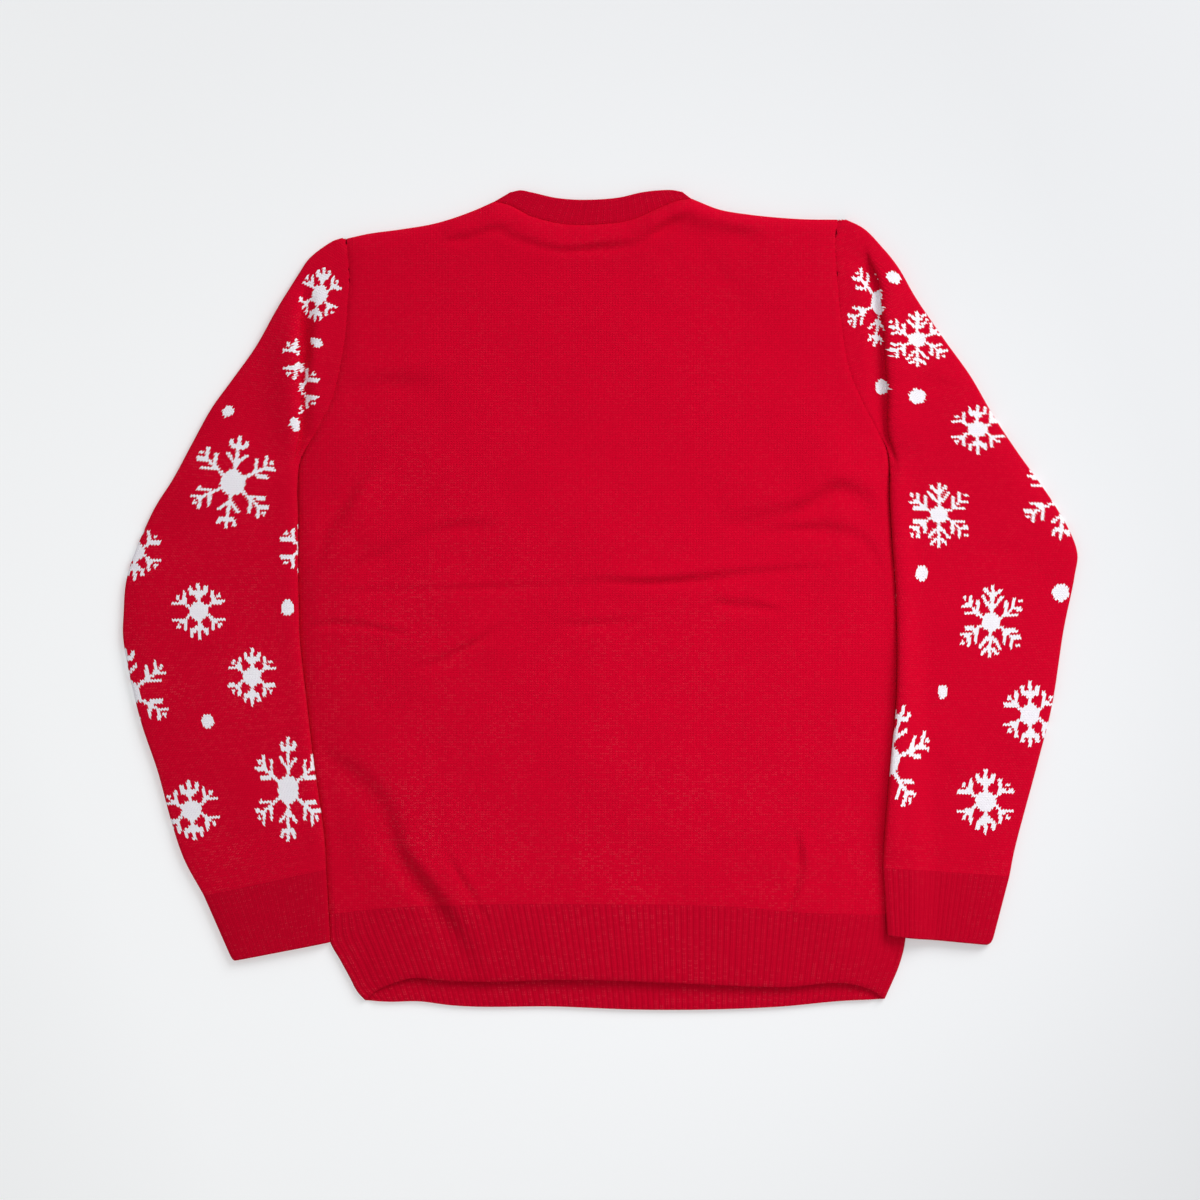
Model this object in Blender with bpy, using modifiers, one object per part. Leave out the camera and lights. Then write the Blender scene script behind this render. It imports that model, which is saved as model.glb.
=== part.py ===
"""A crew-neck knitted jumper with ribbed trims, laid flat on its front with its back up.

Lengths are in millimetres, and become metres where a mesh is written. X runs across
the body, Y from hem (-) to collar (+), Z up from the surface that the jumper lies on.
Left and right are as seen from above, which are the wearer's own.

The front lies flat at the bottom. The back lies over it and rolls down to it along the
sides. Each sleeve is a flattened tube whose cap folds over a strip beside the armhole.
The left sleeve lies beside the body, and the right one lies on its edge.
"""

from collections import namedtuple

import bmesh
import bpy
import numpy as np

MM = 0.001
NAME = "knitted_jumper"

# Cloth
WALL = 2.4              # one layer of plain knit
RIB_WALL = 2.0          # one layer of rib, in the furrows between its ribs
RIB_RISE = 0.7          # how far a rib stands above its furrows
SEAM = 0.3              # gap where two pieces are sewn together
BESIDE = 0.5            # gap between the body's side and the sleeve that lies beside it
REST = WALL + SEAM      # lowest level of the back's underside, just over the front
CROWN = 2.6             # how far the back arches up from that level
MOST_HOLLOW = 3.7       # the hollow between two layers stays under this
EDGE_ROLL = 17.0        # width over which the back rolls down to the side seam
EDGE_THIN = 0.35        # share of the wall left at a rolled edge
EDGE_ROUND = 3.0        # width over which it thins to that
ARMHOLE_ARCH = 0.55     # share of the crown at the armhole seam
NECK_ARCH = 0.15        # share of the crown at the back neck seam
TUBE_HOLLOW = 0.5       # hollow at the folded edge of a sleeve
SLEEVE_CROWN = 2.4      # how far a sleeve's upper layer arches up
SLEEVE_ROLL = 26.0      # width over which it rises to that
TUBE_ROUND = 2.65       # radius of a sleeve's folded edge
NECK_TURN = 1.0         # how far the collar's folded ends bulge at its free edge

# Rib counts on the side that shows
HEM_RIBS = 92
CUFF_RIBS = 22
NECK_RIBS = 30

# Rows and columns of the meshes
CAP_ROWS = 12
SLEEVE_ROWS = 14
HEM_ROWS = 4
NECK_ROWS = 3
PLAIN_EVERY = 4         # a plain underside has one column for each of this many ribbed ones
NECK_PLAIN_EVERY = 6    # the same at the collar, so that its columns match the panels'
NECK_FRONT_COLUMNS = 18
CUFF_UNDER_COLUMNS = 8
NECK_SEAM_SHARE = 0.025  # share of the collar's width that its seam gap takes

# The right sleeve lies on the side of the body
SLEEVE_LIFT = 6.1       # height of its underside there
LIFT_FROM = 5.0         # Y where it starts to climb
LIFT_LENGTH = 85.0      # length over which it climbs
LIFT_SHELF = 4.0        # width past the body's edge where it is still up
LIFT_FALL = 26.0        # width over which it comes down to the surface

Point = namedtuple("Point", "x y")
SleeveRow = namedtuple("SleeveRow", "outer_x outer_y inner_x inner_y fold lip")
Crease = namedtuple("Crease", "x0 y0 x1 y1 bow width rise")

# From the armhole to the rib, along the sleeve's folded outer edge and its inner edge,
# which is the armhole seam as far as the underarm. "fold" is the share of the row's
# width where the cap folds over, and "lip" is how high the folded layers stand there.
UNDERARM_ROW = 8
LEFT_SLEEVE = (
    SleeveRow(-232.2, 326.3, -228.2, 325.4, 0.90, 0.0),
    SleeveRow(-243.0, 322.2, -226.8, 310.5, 0.88, 0.0),
    SleeveRow(-261.0, 308.7, -225.2, 288.0, 0.84, 0.0),
    SleeveRow(-271.8, 293.4, -226.6, 270.0, 0.76, 0.5),
    SleeveRow(-291.6, 261.0, -228.6, 243.0, 0.63, 3.5),
    SleeveRow(-310.5, 227.7, -232.6, 216.0, 0.46, 5.0),
    SleeveRow(-334.0, 195.0, -240.0, 183.6, 0.30, 5.0),
    SleeveRow(-350.5, 172.0, -252.6, 157.0, 0.17, 4.5),
    SleeveRow(-366.5, 143.0, -269.1, 127.8, 0.05, 0.6),
    SleeveRow(-384.3, 109.8, -272.3, 102.0, 0.06, 0.0),
    SleeveRow(-404.1, 77.4, -271.8, 72.0, 0.06, 0.0),
    SleeveRow(-424.8, 26.1, -271.8, 24.3, 0.06, 0.0),
    SleeveRow(-429.3, -12.6, -270.9, -10.8, 0.06, 0.0),
    SleeveRow(-428.4, -44.1, -269.8, -40.5, 0.06, 0.0),
    SleeveRow(-414.9, -105.3, -263.7, -94.5, 0.06, 0.0),
    SleeveRow(-398.7, -153.9, -257.7, -145.8, 0.06, 0.0),
    SleeveRow(-387.0, -197.0, -251.6, -187.0, 0.06, 0.0),
    SleeveRow(-375.0, -233.0, -247.8, -217.0, 0.06, 0.0),
    SleeveRow(-356.9, -266.4, -246.6, -242.6, 0.06, 0.0),
)
RIGHT_SLEEVE = (
    SleeveRow(221.4, 342.9, 213.8, 342.5, 0.90, 0.0),
    SleeveRow(237.6, 334.8, 211.6, 325.8, 0.86, 0.0),
    SleeveRow(252.0, 320.4, 212.4, 304.2, 0.62, 1.2),
    SleeveRow(268.5, 299.5, 214.7, 274.5, 0.64, 3.8),
    SleeveRow(284.6, 272.0, 217.8, 244.8, 0.56, 5.0),
    SleeveRow(310.4, 234.4, 224.1, 208.8, 0.37, 5.0),
    SleeveRow(333.9, 201.6, 235.8, 179.1, 0.23, 5.0),
    SleeveRow(354.4, 166.0, 249.6, 153.0, 0.085, 4.2),
    SleeveRow(375.3, 134.5, 259.8, 131.0, 0.05, 0.4),
    SleeveRow(409.4, 86.0, 261.0, 90.0, 0.06, 0.0),
    SleeveRow(429.0, 47.5, 263.3, 49.5, 0.06, 0.0),
    SleeveRow(427.5, 20.7, 266.0, 13.5, 0.06, 0.0),
    SleeveRow(417.6, -27.9, 267.3, -36.0, 0.06, 0.0),
    SleeveRow(407.7, -92.7, 266.2, -90.0, 0.06, 0.0),
    SleeveRow(395.1, -144.0, 261.5, -141.3, 0.06, 0.0),
    SleeveRow(375.3, -217.8, 255.6, -211.5, 0.06, 0.0),
    SleeveRow(369.0, -248.4, 254.3, -240.3, 0.06, 0.0),
)
LEFT_CUFF_END = SleeveRow(-331.2, -324.9, -242.8, -307.8, 0.06, 0.0)
RIGHT_CUFF_END = SleeveRow(352.8, -310.6, 258.3, -301.5, 0.06, 0.0)

# The body's right side where the sleeve hides it. Elsewhere its sides follow the sleeves.
HIDDEN_SIDE = (
    Point(265.9, -75.0),
    Point(267.5, -120.0),
    Point(270.0, -160.0),
    Point(272.0, -200.0),
    Point(274.0, -240.0),
    Point(275.4, -283.0),
)

# Shares of the way down the sides where the body has its rows, closer at its creases
SIDE_STEPS = (
    0.0, 0.04, 0.08, 0.115, 0.145, 0.175, 0.20, 0.22, 0.24, 0.26, 0.28, 0.305, 0.335,
    0.37, 0.41, 0.46, 0.52, 0.59, 0.66, 0.73, 0.80, 0.865, 0.93, 1.0,
)
# Shares of the way along each shoulder where the body has its columns
SHOULDER_STEPS = (0.0, 0.02, 0.06, 0.13, 0.24, 0.38, 0.52, 0.68, 0.84)
NECK_COLUMNS = 10

LEFT_SHOULDER = (
    Point(-228.2, 325.4),
    Point(-210.6, 329.4),
    Point(-179.1, 333.8),
    Point(-149.4, 338.9),
    Point(-114.3, 350.4),
    Point(-95.4, 358.7),
)
RIGHT_SHOULDER = (
    Point(213.8, 342.5),
    Point(182.7, 342.9),
    Point(156.6, 344.7),
    Point(131.4, 347.4),
    Point(108.9, 351.2),
    Point(82.0, 361.5),
)
BACK_NECK = (
    Point(-95.4, 358.7),
    Point(-84.0, 356.4),
    Point(-63.0, 345.9),
    Point(-36.0, 338.9),
    Point(0.0, 338.2),
    Point(27.0, 341.8),
    Point(54.0, 353.2),
    Point(68.0, 358.9),
    Point(82.0, 361.5),
)
BACK_NECK_EDGE = (
    Point(-80.0, 367.4),
    Point(-72.0, 369.0),
    Point(-63.0, 367.4),
    Point(-40.0, 362.2),
    Point(-9.0, 360.4),
    Point(18.0, 362.6),
    Point(38.0, 367.2),
    Point(52.0, 368.8),
    Point(66.0, 369.0),
    Point(73.5, 367.6),
)
FRONT_NECK = (
    Point(-95.4, 358.7),
    Point(-84.0, 334.0),
    Point(-52.0, 302.0),
    Point(-8.0, 291.0),
    Point(38.0, 302.0),
    Point(70.0, 334.0),
    Point(82.0, 361.5),
)
FRONT_NECK_EDGE = (
    Point(-80.0, 367.4),
    Point(-66.0, 344.0),
    Point(-40.0, 323.0),
    Point(-8.0, 315.0),
    Point(28.0, 323.0),
    Point(54.0, 344.0),
    Point(73.5, 367.6),
)
RIB_LINE = (
    Point(-243.7, -283.0),
    Point(-194.0, -277.5),
    Point(-120.0, -274.0),
    Point(0.0, -273.6),
    Point(110.0, -275.4),
    Point(200.0, -282.0),
    Point(275.4, -283.0),
)
LEFT_HEM_SIDE = (
    Point(-243.7, -283.0),
    Point(-241.8, -308.0),
    Point(-233.6, -324.0),
    Point(-225.5, -340.2),
    Point(-218.0, -354.0),
    Point(-211.5, -360.8),
)
RIGHT_HEM_SHOWN = (
    Point(256.6, -283.0),
    Point(258.0, -306.0),
    Point(265.0, -320.0),
    Point(262.5, -336.0),
    Point(256.5, -359.6),
)
RIGHT_HEM_SIDE = (
    Point(275.4, -283.0),
    Point(275.2, -306.0),
    Point(268.2, -333.0),
    Point(262.6, -346.0),
    Point(256.5, -359.6),
)
BACK_HEM = (
    Point(-211.5, -360.8),
    Point(-202.0, -352.5),
    Point(-186.0, -345.0),
    Point(-168.0, -340.2),
    Point(-144.0, -342.2),
    Point(-108.0, -343.4),
    Point(-36.0, -341.6),
    Point(72.0, -344.6),
    Point(165.0, -348.2),
    Point(228.6, -346.2),
    Point(244.0, -351.0),
    Point(256.5, -359.6),
)
FRONT_HEM = (
    Point(-211.5, -360.8),
    Point(-190.0, -362.0),
    Point(-163.8, -361.6),
    Point(-136.0, -365.0),
    Point(-36.0, -366.4),
    Point(30.0, -369.0),
    Point(97.0, -369.0),
    Point(162.0, -366.4),
    Point(222.0, -361.0),
    Point(256.5, -359.6),
)

# Creases of the back's upper face: from one end to the other, with a sideways bow in
# the middle, a half width, and a rise that is negative in a furrow.
BACK_CREASES = (
    Crease(-240.0, 10.0, -20.0, 16.0, 3.0, 7.0, -1.3),
    Crease(-40.0, 15.0, 190.0, 33.0, -3.0, 7.5, -2.1),
    Crease(-60.0, 31.0, 180.0, 49.0, -3.0, 9.0, 0.9),
    Crease(105.0, 68.0, 222.0, 104.0, -8.0, 11.0, -1.9),
    Crease(120.0, 88.0, 226.0, 124.0, -8.0, 11.0, 0.7),
    Crease(140.0, 60.0, 250.0, 40.0, 12.0, 9.0, -1.2),
    Crease(-220.0, 30.0, -90.0, 66.0, 6.0, 11.0, -1.0),
    Crease(-205.0, 118.0, -252.0, 40.0, 3.0, 11.0, -1.4),
    Crease(-158.0, -60.0, -85.0, -18.0, -3.0, 8.0, -1.3),
    Crease(-262.0, -22.0, -175.0, -26.0, 3.0, 6.0, -1.3),
    Crease(-240.0, -155.0, -116.0, -345.0, 8.0, 11.0, -2.1),
    Crease(-205.0, -160.0, -96.0, -330.0, 8.0, 12.0, 0.9),
    Crease(-140.0, -225.0, -103.0, -284.0, 3.0, 8.0, -1.0),
    Crease(181.0, -210.0, 170.0, -275.0, 4.0, 8.0, -1.1),
    Crease(108.0, -2.0, 160.0, -8.0, 0.0, 6.0, -0.9),
    Crease(-92.0, 326.0, -30.0, 315.0, 4.0, 7.0, -1.7),
    Crease(-40.0, 316.0, 60.0, 326.0, 3.0, 7.0, -1.9),
    Crease(44.0, 325.0, 78.0, 345.0, 2.0, 7.0, -1.4),
    Crease(-128.0, 330.0, -80.0, 340.0, 2.0, 7.0, -1.3),
)
SLEEVE_CREASES = (
    Crease(-400.0, 60.0, -300.0, 92.0, 4.0, 12.0, -0.9),
    Crease(-300.0, -60.0, -380.0, -190.0, 6.0, 14.0, -0.8),
    Crease(262.0, 196.0, 330.0, 192.0, 4.0, 9.0, -1.1),
    Crease(300.0, 60.0, 400.0, 40.0, 4.0, 14.0, -0.8),
    Crease(290.0, -120.0, 350.0, -200.0, 5.0, 14.0, -0.8),
)

# The lip of a sleeve cap's fold, from the strip below it, under it and round its nose
# to the top: how far along from the fold, and what share of the lip's height. "open" is
# how far along each point lies where there is no lip.
LipPoint = namedtuple("LipPoint", "along height open")
LIP = (
    LipPoint(3.0, 0.02, 0.0),
    LipPoint(4.0, 0.12, 1.4),
    LipPoint(1.8, 0.26, 2.8),
    LipPoint(0.0, 0.50, 4.2),
    LipPoint(1.6, 0.84, 5.6),
    LipPoint(6.0, 1.00, 8.0),
)
STRIP_COLUMNS = 4
TOP_COLUMNS = 17
# Shares of the way across a sleeve where its lower layer has columns
UNDER_STEPS = (0.0, 0.09, 0.18, 0.27, 0.38, 0.62, 1.0)
LIP_SPREAD = 20.0       # width over which the folded layers thin out, past the lip


def smooth(share):
    share = np.clip(share, 0.0, 1.0)
    return share * share * (3 - 2 * share)


def roll(distance, radius):
    """0 at an edge, rising as a quarter circle to 1 at a radius in from it."""
    left = 1 - np.clip(distance / radius, 0.0, 1.0)
    return np.sqrt(1 - left * left)


def along(points, shares):
    """The points at these shares of a smooth curve through a table's rows."""
    points = np.array(points, float)
    steps = np.linalg.norm(np.diff(points[:, :2], axis=0), axis=1)
    stations = np.concatenate([[0.0], np.cumsum(steps)])
    return curve(points, stations, np.asarray(shares) * stations[-1])


def curve(points, stations, where):
    """A curve through the points, which it passes at the stations, read at each place."""
    slopes = np.gradient(points, stations, axis=0)
    where = np.clip(where, stations[0], stations[-1])
    i = np.clip(np.searchsorted(stations, where, side="right") - 1, 0, len(stations) - 2)
    step = (stations[i + 1] - stations[i])[:, None]
    t = (where - stations[i])[:, None] / step
    start = points[i] * (1 + 2 * t) * (1 - t) ** 2 + points[i + 1] * t * t * (3 - 2 * t)
    return start + step * (slopes[i] * t * (1 - t) ** 2 - slopes[i + 1] * t * t * (1 - t))


def patch(top, bottom, left, right):
    """A grid between four edges that meet at the corners, rows down from the top."""
    down = np.linalg.norm(np.diff(left, axis=0), axis=1)
    v = np.concatenate([[0.0], np.cumsum(down)])[:, None, None] / down.sum()
    across = np.linalg.norm(np.diff(bottom, axis=0), axis=1)
    u = np.concatenate([[0.0], np.cumsum(across)])[None, :, None] / across.sum()
    rows = (1 - v) * top[None] + v * bottom[None]
    columns = (1 - u) * left[:, None] + u * right[:, None]
    upper = (1 - u) * top[0] + u * top[-1]
    lower = (1 - u) * bottom[0] + u * bottom[-1]
    return rows + columns - (1 - v) * upper - v * lower


def relief(creases, x, y):
    """The height that a table of creases adds at each point."""
    total = np.zeros(np.shape(x))
    for c in creases:
        run = np.array([c.x1 - c.x0, c.y1 - c.y0])
        length = np.linalg.norm(run)
        ahead = run / length
        t = ((x - c.x0) * ahead[0] + (y - c.y0) * ahead[1]) / length
        aside = (y - c.y0) * ahead[0] - (x - c.x0) * ahead[1]
        bow = 4 * c.bow * np.clip(t, 0, 1) * (1 - np.clip(t, 0, 1))
        fade = smooth(1.2 - abs(t - 0.5) * 2.4) ** 0.5
        total += c.rise * fade * np.exp(-(((aside - bow) / c.width) ** 2))
    return total


# Plan of the body

def cap_steps():
    return np.linspace(0, UNDERARM_ROW, CAP_ROWS + 1)


def sleeve_steps(table):
    last = len(table) - 1
    return np.concatenate([cap_steps()[:-1], np.linspace(UNDERARM_ROW, last, SLEEVE_ROWS + 1)])


def sleeve_rows(table, steps):
    rows = np.array(table, float)
    return curve(rows, np.arange(len(rows), dtype=float), steps)


def armhole(table):
    return sleeve_rows(table, cap_steps())[:, 2:4]


def beside(table, end, y):
    """The body's edge at Y where it follows a sleeve and its cuff."""
    rows = np.concatenate([sleeve_rows(table, sleeve_steps(table)), [end]])
    toward_body = -np.sign(rows[0, 2])
    return np.interp(-y, -rows[:, 3], rows[:, 2]) + toward_body * BESIDE


def side(table, end, hidden):
    """One side of the body, from the shoulder tip down to the rib."""
    seam = armhole(table)
    steps = np.array(SIDE_STEPS[1:])
    y = seam[-1, 1] + steps * (RIB_LINE[0].y - seam[-1, 1])
    x = beside(table, end, y)
    if hidden:
        under = np.array(hidden)
        x = np.where(y < under[0, 1], np.interp(-y, -under[:, 1], under[:, 0]), x)
    return np.concatenate([seam, np.stack([x, y], 1)])


def left_side():
    return side(LEFT_SLEEVE, LEFT_CUFF_END, None)


def right_side():
    return side(RIGHT_SLEEVE, RIGHT_CUFF_END, HIDDEN_SIDE)


def right_side_shown():
    """Where the right side starts to roll down, beside the sleeve that lies on it."""
    return side(RIGHT_SLEEVE, RIGHT_CUFF_END, None)


def neck_shares():
    return np.linspace(0, 1, NECK_COLUMNS + 1)


def body_columns():
    """Shares of the body's width at its columns, at the rib line."""
    shoulder = np.array(SHOULDER_STEPS) / 3
    return np.concatenate([shoulder, 1 / 3 + neck_shares() / 3, 1 - shoulder[::-1]])


def top_edge(neck):
    left = along(LEFT_SHOULDER, SHOULDER_STEPS)
    right = along(RIGHT_SHOULDER, SHOULDER_STEPS)
    return np.concatenate([left, along(neck, neck_shares()), right[::-1]])


def body_grid(neck):
    return patch(top_edge(neck), along(RIB_LINE, body_columns()), left_side(), right_side())


def edge_of_body(points, hem_side):
    edge = np.concatenate([points, np.array(hem_side, float)[1:]])
    return edge[::-1, 1], edge[::-1, 0]


def back_level(x, y):
    """Height of the back's underside: arched, creased, and rolled down at its edges."""
    left = x - np.interp(y, *edge_of_body(left_side(), LEFT_HEM_SIDE))
    right = np.interp(y, *edge_of_body(right_side_shown(), RIGHT_HEM_SHOWN)) - x
    top_line = top_edge(BACK_NECK)
    top = np.interp(x, top_line[:, 0], top_line[:, 1]) - y
    underarm = LEFT_SLEEVE[UNDERARM_ROW].inner_y
    at_side = ARMHOLE_ARCH * smooth((y - underarm) / 50)
    at_neck = NECK_ARCH * smooth((BACK_NECK[-1].x - abs(x)) / 20)
    sides = at_side + (1 - at_side) * roll(np.minimum(left, right), EDGE_ROLL)
    tops = at_neck + (1 - at_neck) * roll(top, EDGE_ROLL)
    inside = smooth(np.minimum(np.minimum(left, right), top + 8) / EDGE_ROLL)
    level = REST + CROWN * sides * tops + relief(BACK_CREASES, x, y) * inside
    return np.clip(level, REST, WALL + MOST_HOLLOW)


def edge_share(x, y):
    """Share of the wall that is left, less than 1 only at the body's rolled edges."""
    left = x - np.interp(y, *edge_of_body(left_side(), LEFT_HEM_SIDE))
    right = np.interp(y, *edge_of_body(right_side(), RIGHT_HEM_SIDE)) - x
    rolled = roll(np.minimum(left, right), EDGE_ROUND)
    sewn = smooth((y - LEFT_SLEEVE[UNDERARM_ROW].inner_y) / 30)
    rolled = sewn + (1 - sewn) * rolled
    return EDGE_THIN + (1 - EDGE_THIN) * rolled


# Meshes

def new_object(name, bm, material, collection):
    bmesh.ops.recalc_face_normals(bm, faces=bm.faces)
    mesh = bpy.data.meshes.new(name)
    bm.to_mesh(mesh)
    bm.free()
    mesh.shade_smooth()
    mesh.set_sharp_from_angle(angle=np.radians(50))
    mesh.materials.append(material)
    obj = bpy.data.objects.new(name, mesh)
    collection.objects.link(obj)
    return obj


def add_points(bm, grid):
    flat = [bm.verts.new(point * MM) for point in np.reshape(grid, (-1, 3))]
    return np.array(flat, dtype=object).reshape(np.shape(grid)[:-1])


def add_quads(bm, verts, closed):
    """The faces of a grid of points. A closed grid joins its last column to its first."""
    if closed:
        verts = np.concatenate([verts, verts[:, :1]], axis=1)
    for row, below in zip(verts[:-1], verts[1:]):
        for i in range(len(row) - 1):
            bm.faces.new((row[i], row[i + 1], below[i + 1], below[i]))


def zip_edges(bm, fine, plain):
    """A strip of triangles between a row of points and one with fewer points."""
    every = (len(fine) - 1) // (len(plain) - 1)
    half = (every + 1) // 2
    for i in range(len(plain) - 1):
        span = fine[i * every : (i + 1) * every + 1]
        for k in range(every):
            bm.faces.new((span[k], span[k + 1], plain[i] if k < half else plain[i + 1]))
        bm.faces.new((plain[i], plain[i + 1], span[half]))


def wall(upper, under, closed):
    """A wall between two grids of points, whose second may have fewer columns."""
    bm = bmesh.new()
    outer = add_points(bm, upper)
    inner = add_points(bm, under)
    add_quads(bm, outer, closed)
    add_quads(bm, inner, closed)
    for row in (0, -1):
        fine, plain = list(outer[row]), list(inner[row])
        if closed:
            fine.append(fine[0])
            plain.append(plain[0])
        zip_edges(bm, fine, plain)
    if not closed:
        zip_edges(bm, outer[:, 0], inner[:, 0])
        zip_edges(bm, outer[:, -1], inner[:, -1])
    return bm


def lifted(grid, height):
    return np.concatenate([grid, height[..., None]], axis=-1)


# Body pieces

def back_panel(material, collection):
    grid = body_grid(BACK_NECK)
    x, y = grid[..., 0], grid[..., 1]
    under = back_level(x, y)
    bm = wall(lifted(grid, under + WALL * edge_share(x, y)), lifted(grid, under), False)
    return new_object("back_panel", bm, material, collection)


def front_panel(material, collection):
    """A flat panel from one outline, as thick as the knit."""
    grid = body_grid(FRONT_NECK)
    outline = np.concatenate([grid[0], grid[1:, -1], grid[-1, -2::-1], grid[-2:0:-1, 0]])
    bm = bmesh.new()
    verts = add_points(bm, lifted(outline, np.zeros(len(outline))))
    bm.faces.new(list(verts))
    obj = new_object("front_panel", bm, material, collection)
    if obj.data.polygons[0].normal.z < 0:
        obj.data.flip_normals()
    solid = obj.modifiers.new("thickness", "SOLIDIFY")
    solid.thickness = WALL * MM
    solid.offset = 1.0
    return obj


def ribs(count):
    """1 on a rib and 0 in a furrow, by turns, with a furrow at both edges."""
    return np.arange(2 * count + 1) % 2.0


def hem_grid(bottom, steps):
    """Columns by ribs, and rows from just below the rib line to the hem's edge."""
    columns = 2 * HEM_RIBS
    shares = np.linspace(0, 1, columns + 1)
    coarse = along(RIB_LINE, body_columns())
    stations = body_columns()
    top = np.stack([np.interp(shares, stations, coarse[:, i]) for i in (0, 1)], 1)
    left = along(LEFT_HEM_SIDE, steps)
    right = along(RIGHT_HEM_SIDE, steps)
    left[:, 0] += SEAM / 2
    right[:, 0] -= SEAM / 2
    grid = patch(top, along(bottom, shares), left, right)
    grid[0, :, 1] -= SEAM
    return grid


def hem_rib_back(material, collection):
    grid = hem_grid(BACK_HEM, np.linspace(0, 1, HEM_ROWS + 1))
    x, y = grid[..., 0], grid[..., 1]
    level = back_level(x, y)
    rise = RIB_RISE * ribs(HEM_RIBS) * smooth((edge_share(x, y) - EDGE_THIN) * 1.5)
    outer = level + RIB_WALL * edge_share(x, y) + rise
    plain = lifted(grid, level)[:, ::PLAIN_EVERY]
    bm = wall(lifted(grid, outer), plain, False)
    return new_object("hem_rib_back", bm, material, collection)


def hem_rib_front(material, collection):
    """Its ribs stand up only where it shows, past the edge of the back's hem."""
    grid = hem_grid(FRONT_HEM, np.array([0.0, 0.66, 0.83, 1.0]))
    x, y = grid[..., 0], grid[..., 1]
    back_edge = along(BACK_HEM, np.linspace(0, 1, 60))
    shown = smooth((np.interp(x, back_edge[:, 0], back_edge[:, 1]) - y + 2) / 8)
    height = RIB_WALL - 0.2 + RIB_RISE * ribs(HEM_RIBS) * shown
    plain = lifted(grid, np.zeros(x.shape))[:, ::PLAIN_EVERY]
    bm = wall(lifted(grid, height), plain, False)
    return new_object("hem_rib_front", bm, material, collection)


# Sleeves

def sleeve_lift(y, distance):
    """Height of the right sleeve's underside, at a distance from its inner edge."""
    under = np.array(HIDDEN_SIDE)
    hidden = np.interp(-y, -under[:, 1], under[:, 0])
    over = np.maximum(hidden - beside(RIGHT_SLEEVE, RIGHT_CUFF_END, y), 0)
    climb = smooth((LIFT_FROM - y) / LIFT_LENGTH)
    return SLEEVE_LIFT * climb * (1 - smooth((distance - over - LIFT_SHELF) / LIFT_FALL))


def lay_columns(row, width, edge):
    """Places of the upper layer's columns across a row: even, or gathered at the fold."""
    even = edge + (width - edge - TUBE_ROUND) * np.linspace(0, 1, TOP_COLUMNS)
    fold = max(row[4] * width, edge + 4.0)
    shape = np.array(LIP)
    strip = edge + (fold - 1.5 - edge) * np.linspace(0, 1, STRIP_COLUMNS)
    rest = TOP_COLUMNS - STRIP_COLUMNS - len(shape)
    start = fold + shape[-1, 2]
    end = width - TUBE_ROUND
    after = start + (end - start) * np.arange(1, rest + 1) / rest
    flat = np.concatenate([strip, fold + shape[:, 2], after])
    lapped = np.concatenate([strip, fold + shape[:, 0], after])
    share = smooth(row[5] / 2.0)
    amount = smooth(row[5] / 4.0)
    plain = even + (flat - even) * share
    return plain, plain + (lapped - flat) * share * amount, share


def upper_height(row, place, width, seam_level, sewn):
    """Height of the upper layer's top above the lower layer's underside."""
    rise = roll(np.minimum(place, width - place), SLEEVE_ROLL)
    free = 2 * WALL + TUBE_HOLLOW + SLEEVE_CROWN * rise
    from_seam = WALL + seam_level + (free - WALL - seam_level) * smooth(place / SLEEVE_ROLL)
    return free + (from_seam - free) * sewn


def lip_height(row, place, width, height, share):
    """Lowers the strip beside the fold, and stands the folded layers up at its lip."""
    floor = 2 * WALL + TUBE_HOLLOW
    shape = np.array(LIP)
    lip = slice(STRIP_COLUMNS, STRIP_COLUMNS + len(shape))
    fold = row[4] * width
    top = floor + row[5]
    beyond = np.exp(-(((place - fold - shape[-1, 0]) / LIP_SPREAD) ** 2))
    lapped = height + (top - height) * beyond
    dip = smooth(place[:STRIP_COLUMNS] / max(fold, 1.0))
    lapped[:STRIP_COLUMNS] = height[:STRIP_COLUMNS] * (1 - dip) + floor * dip
    lapped[lip] = floor + row[5] * shape[:, 1]
    return height + (lapped - height) * share


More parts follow.
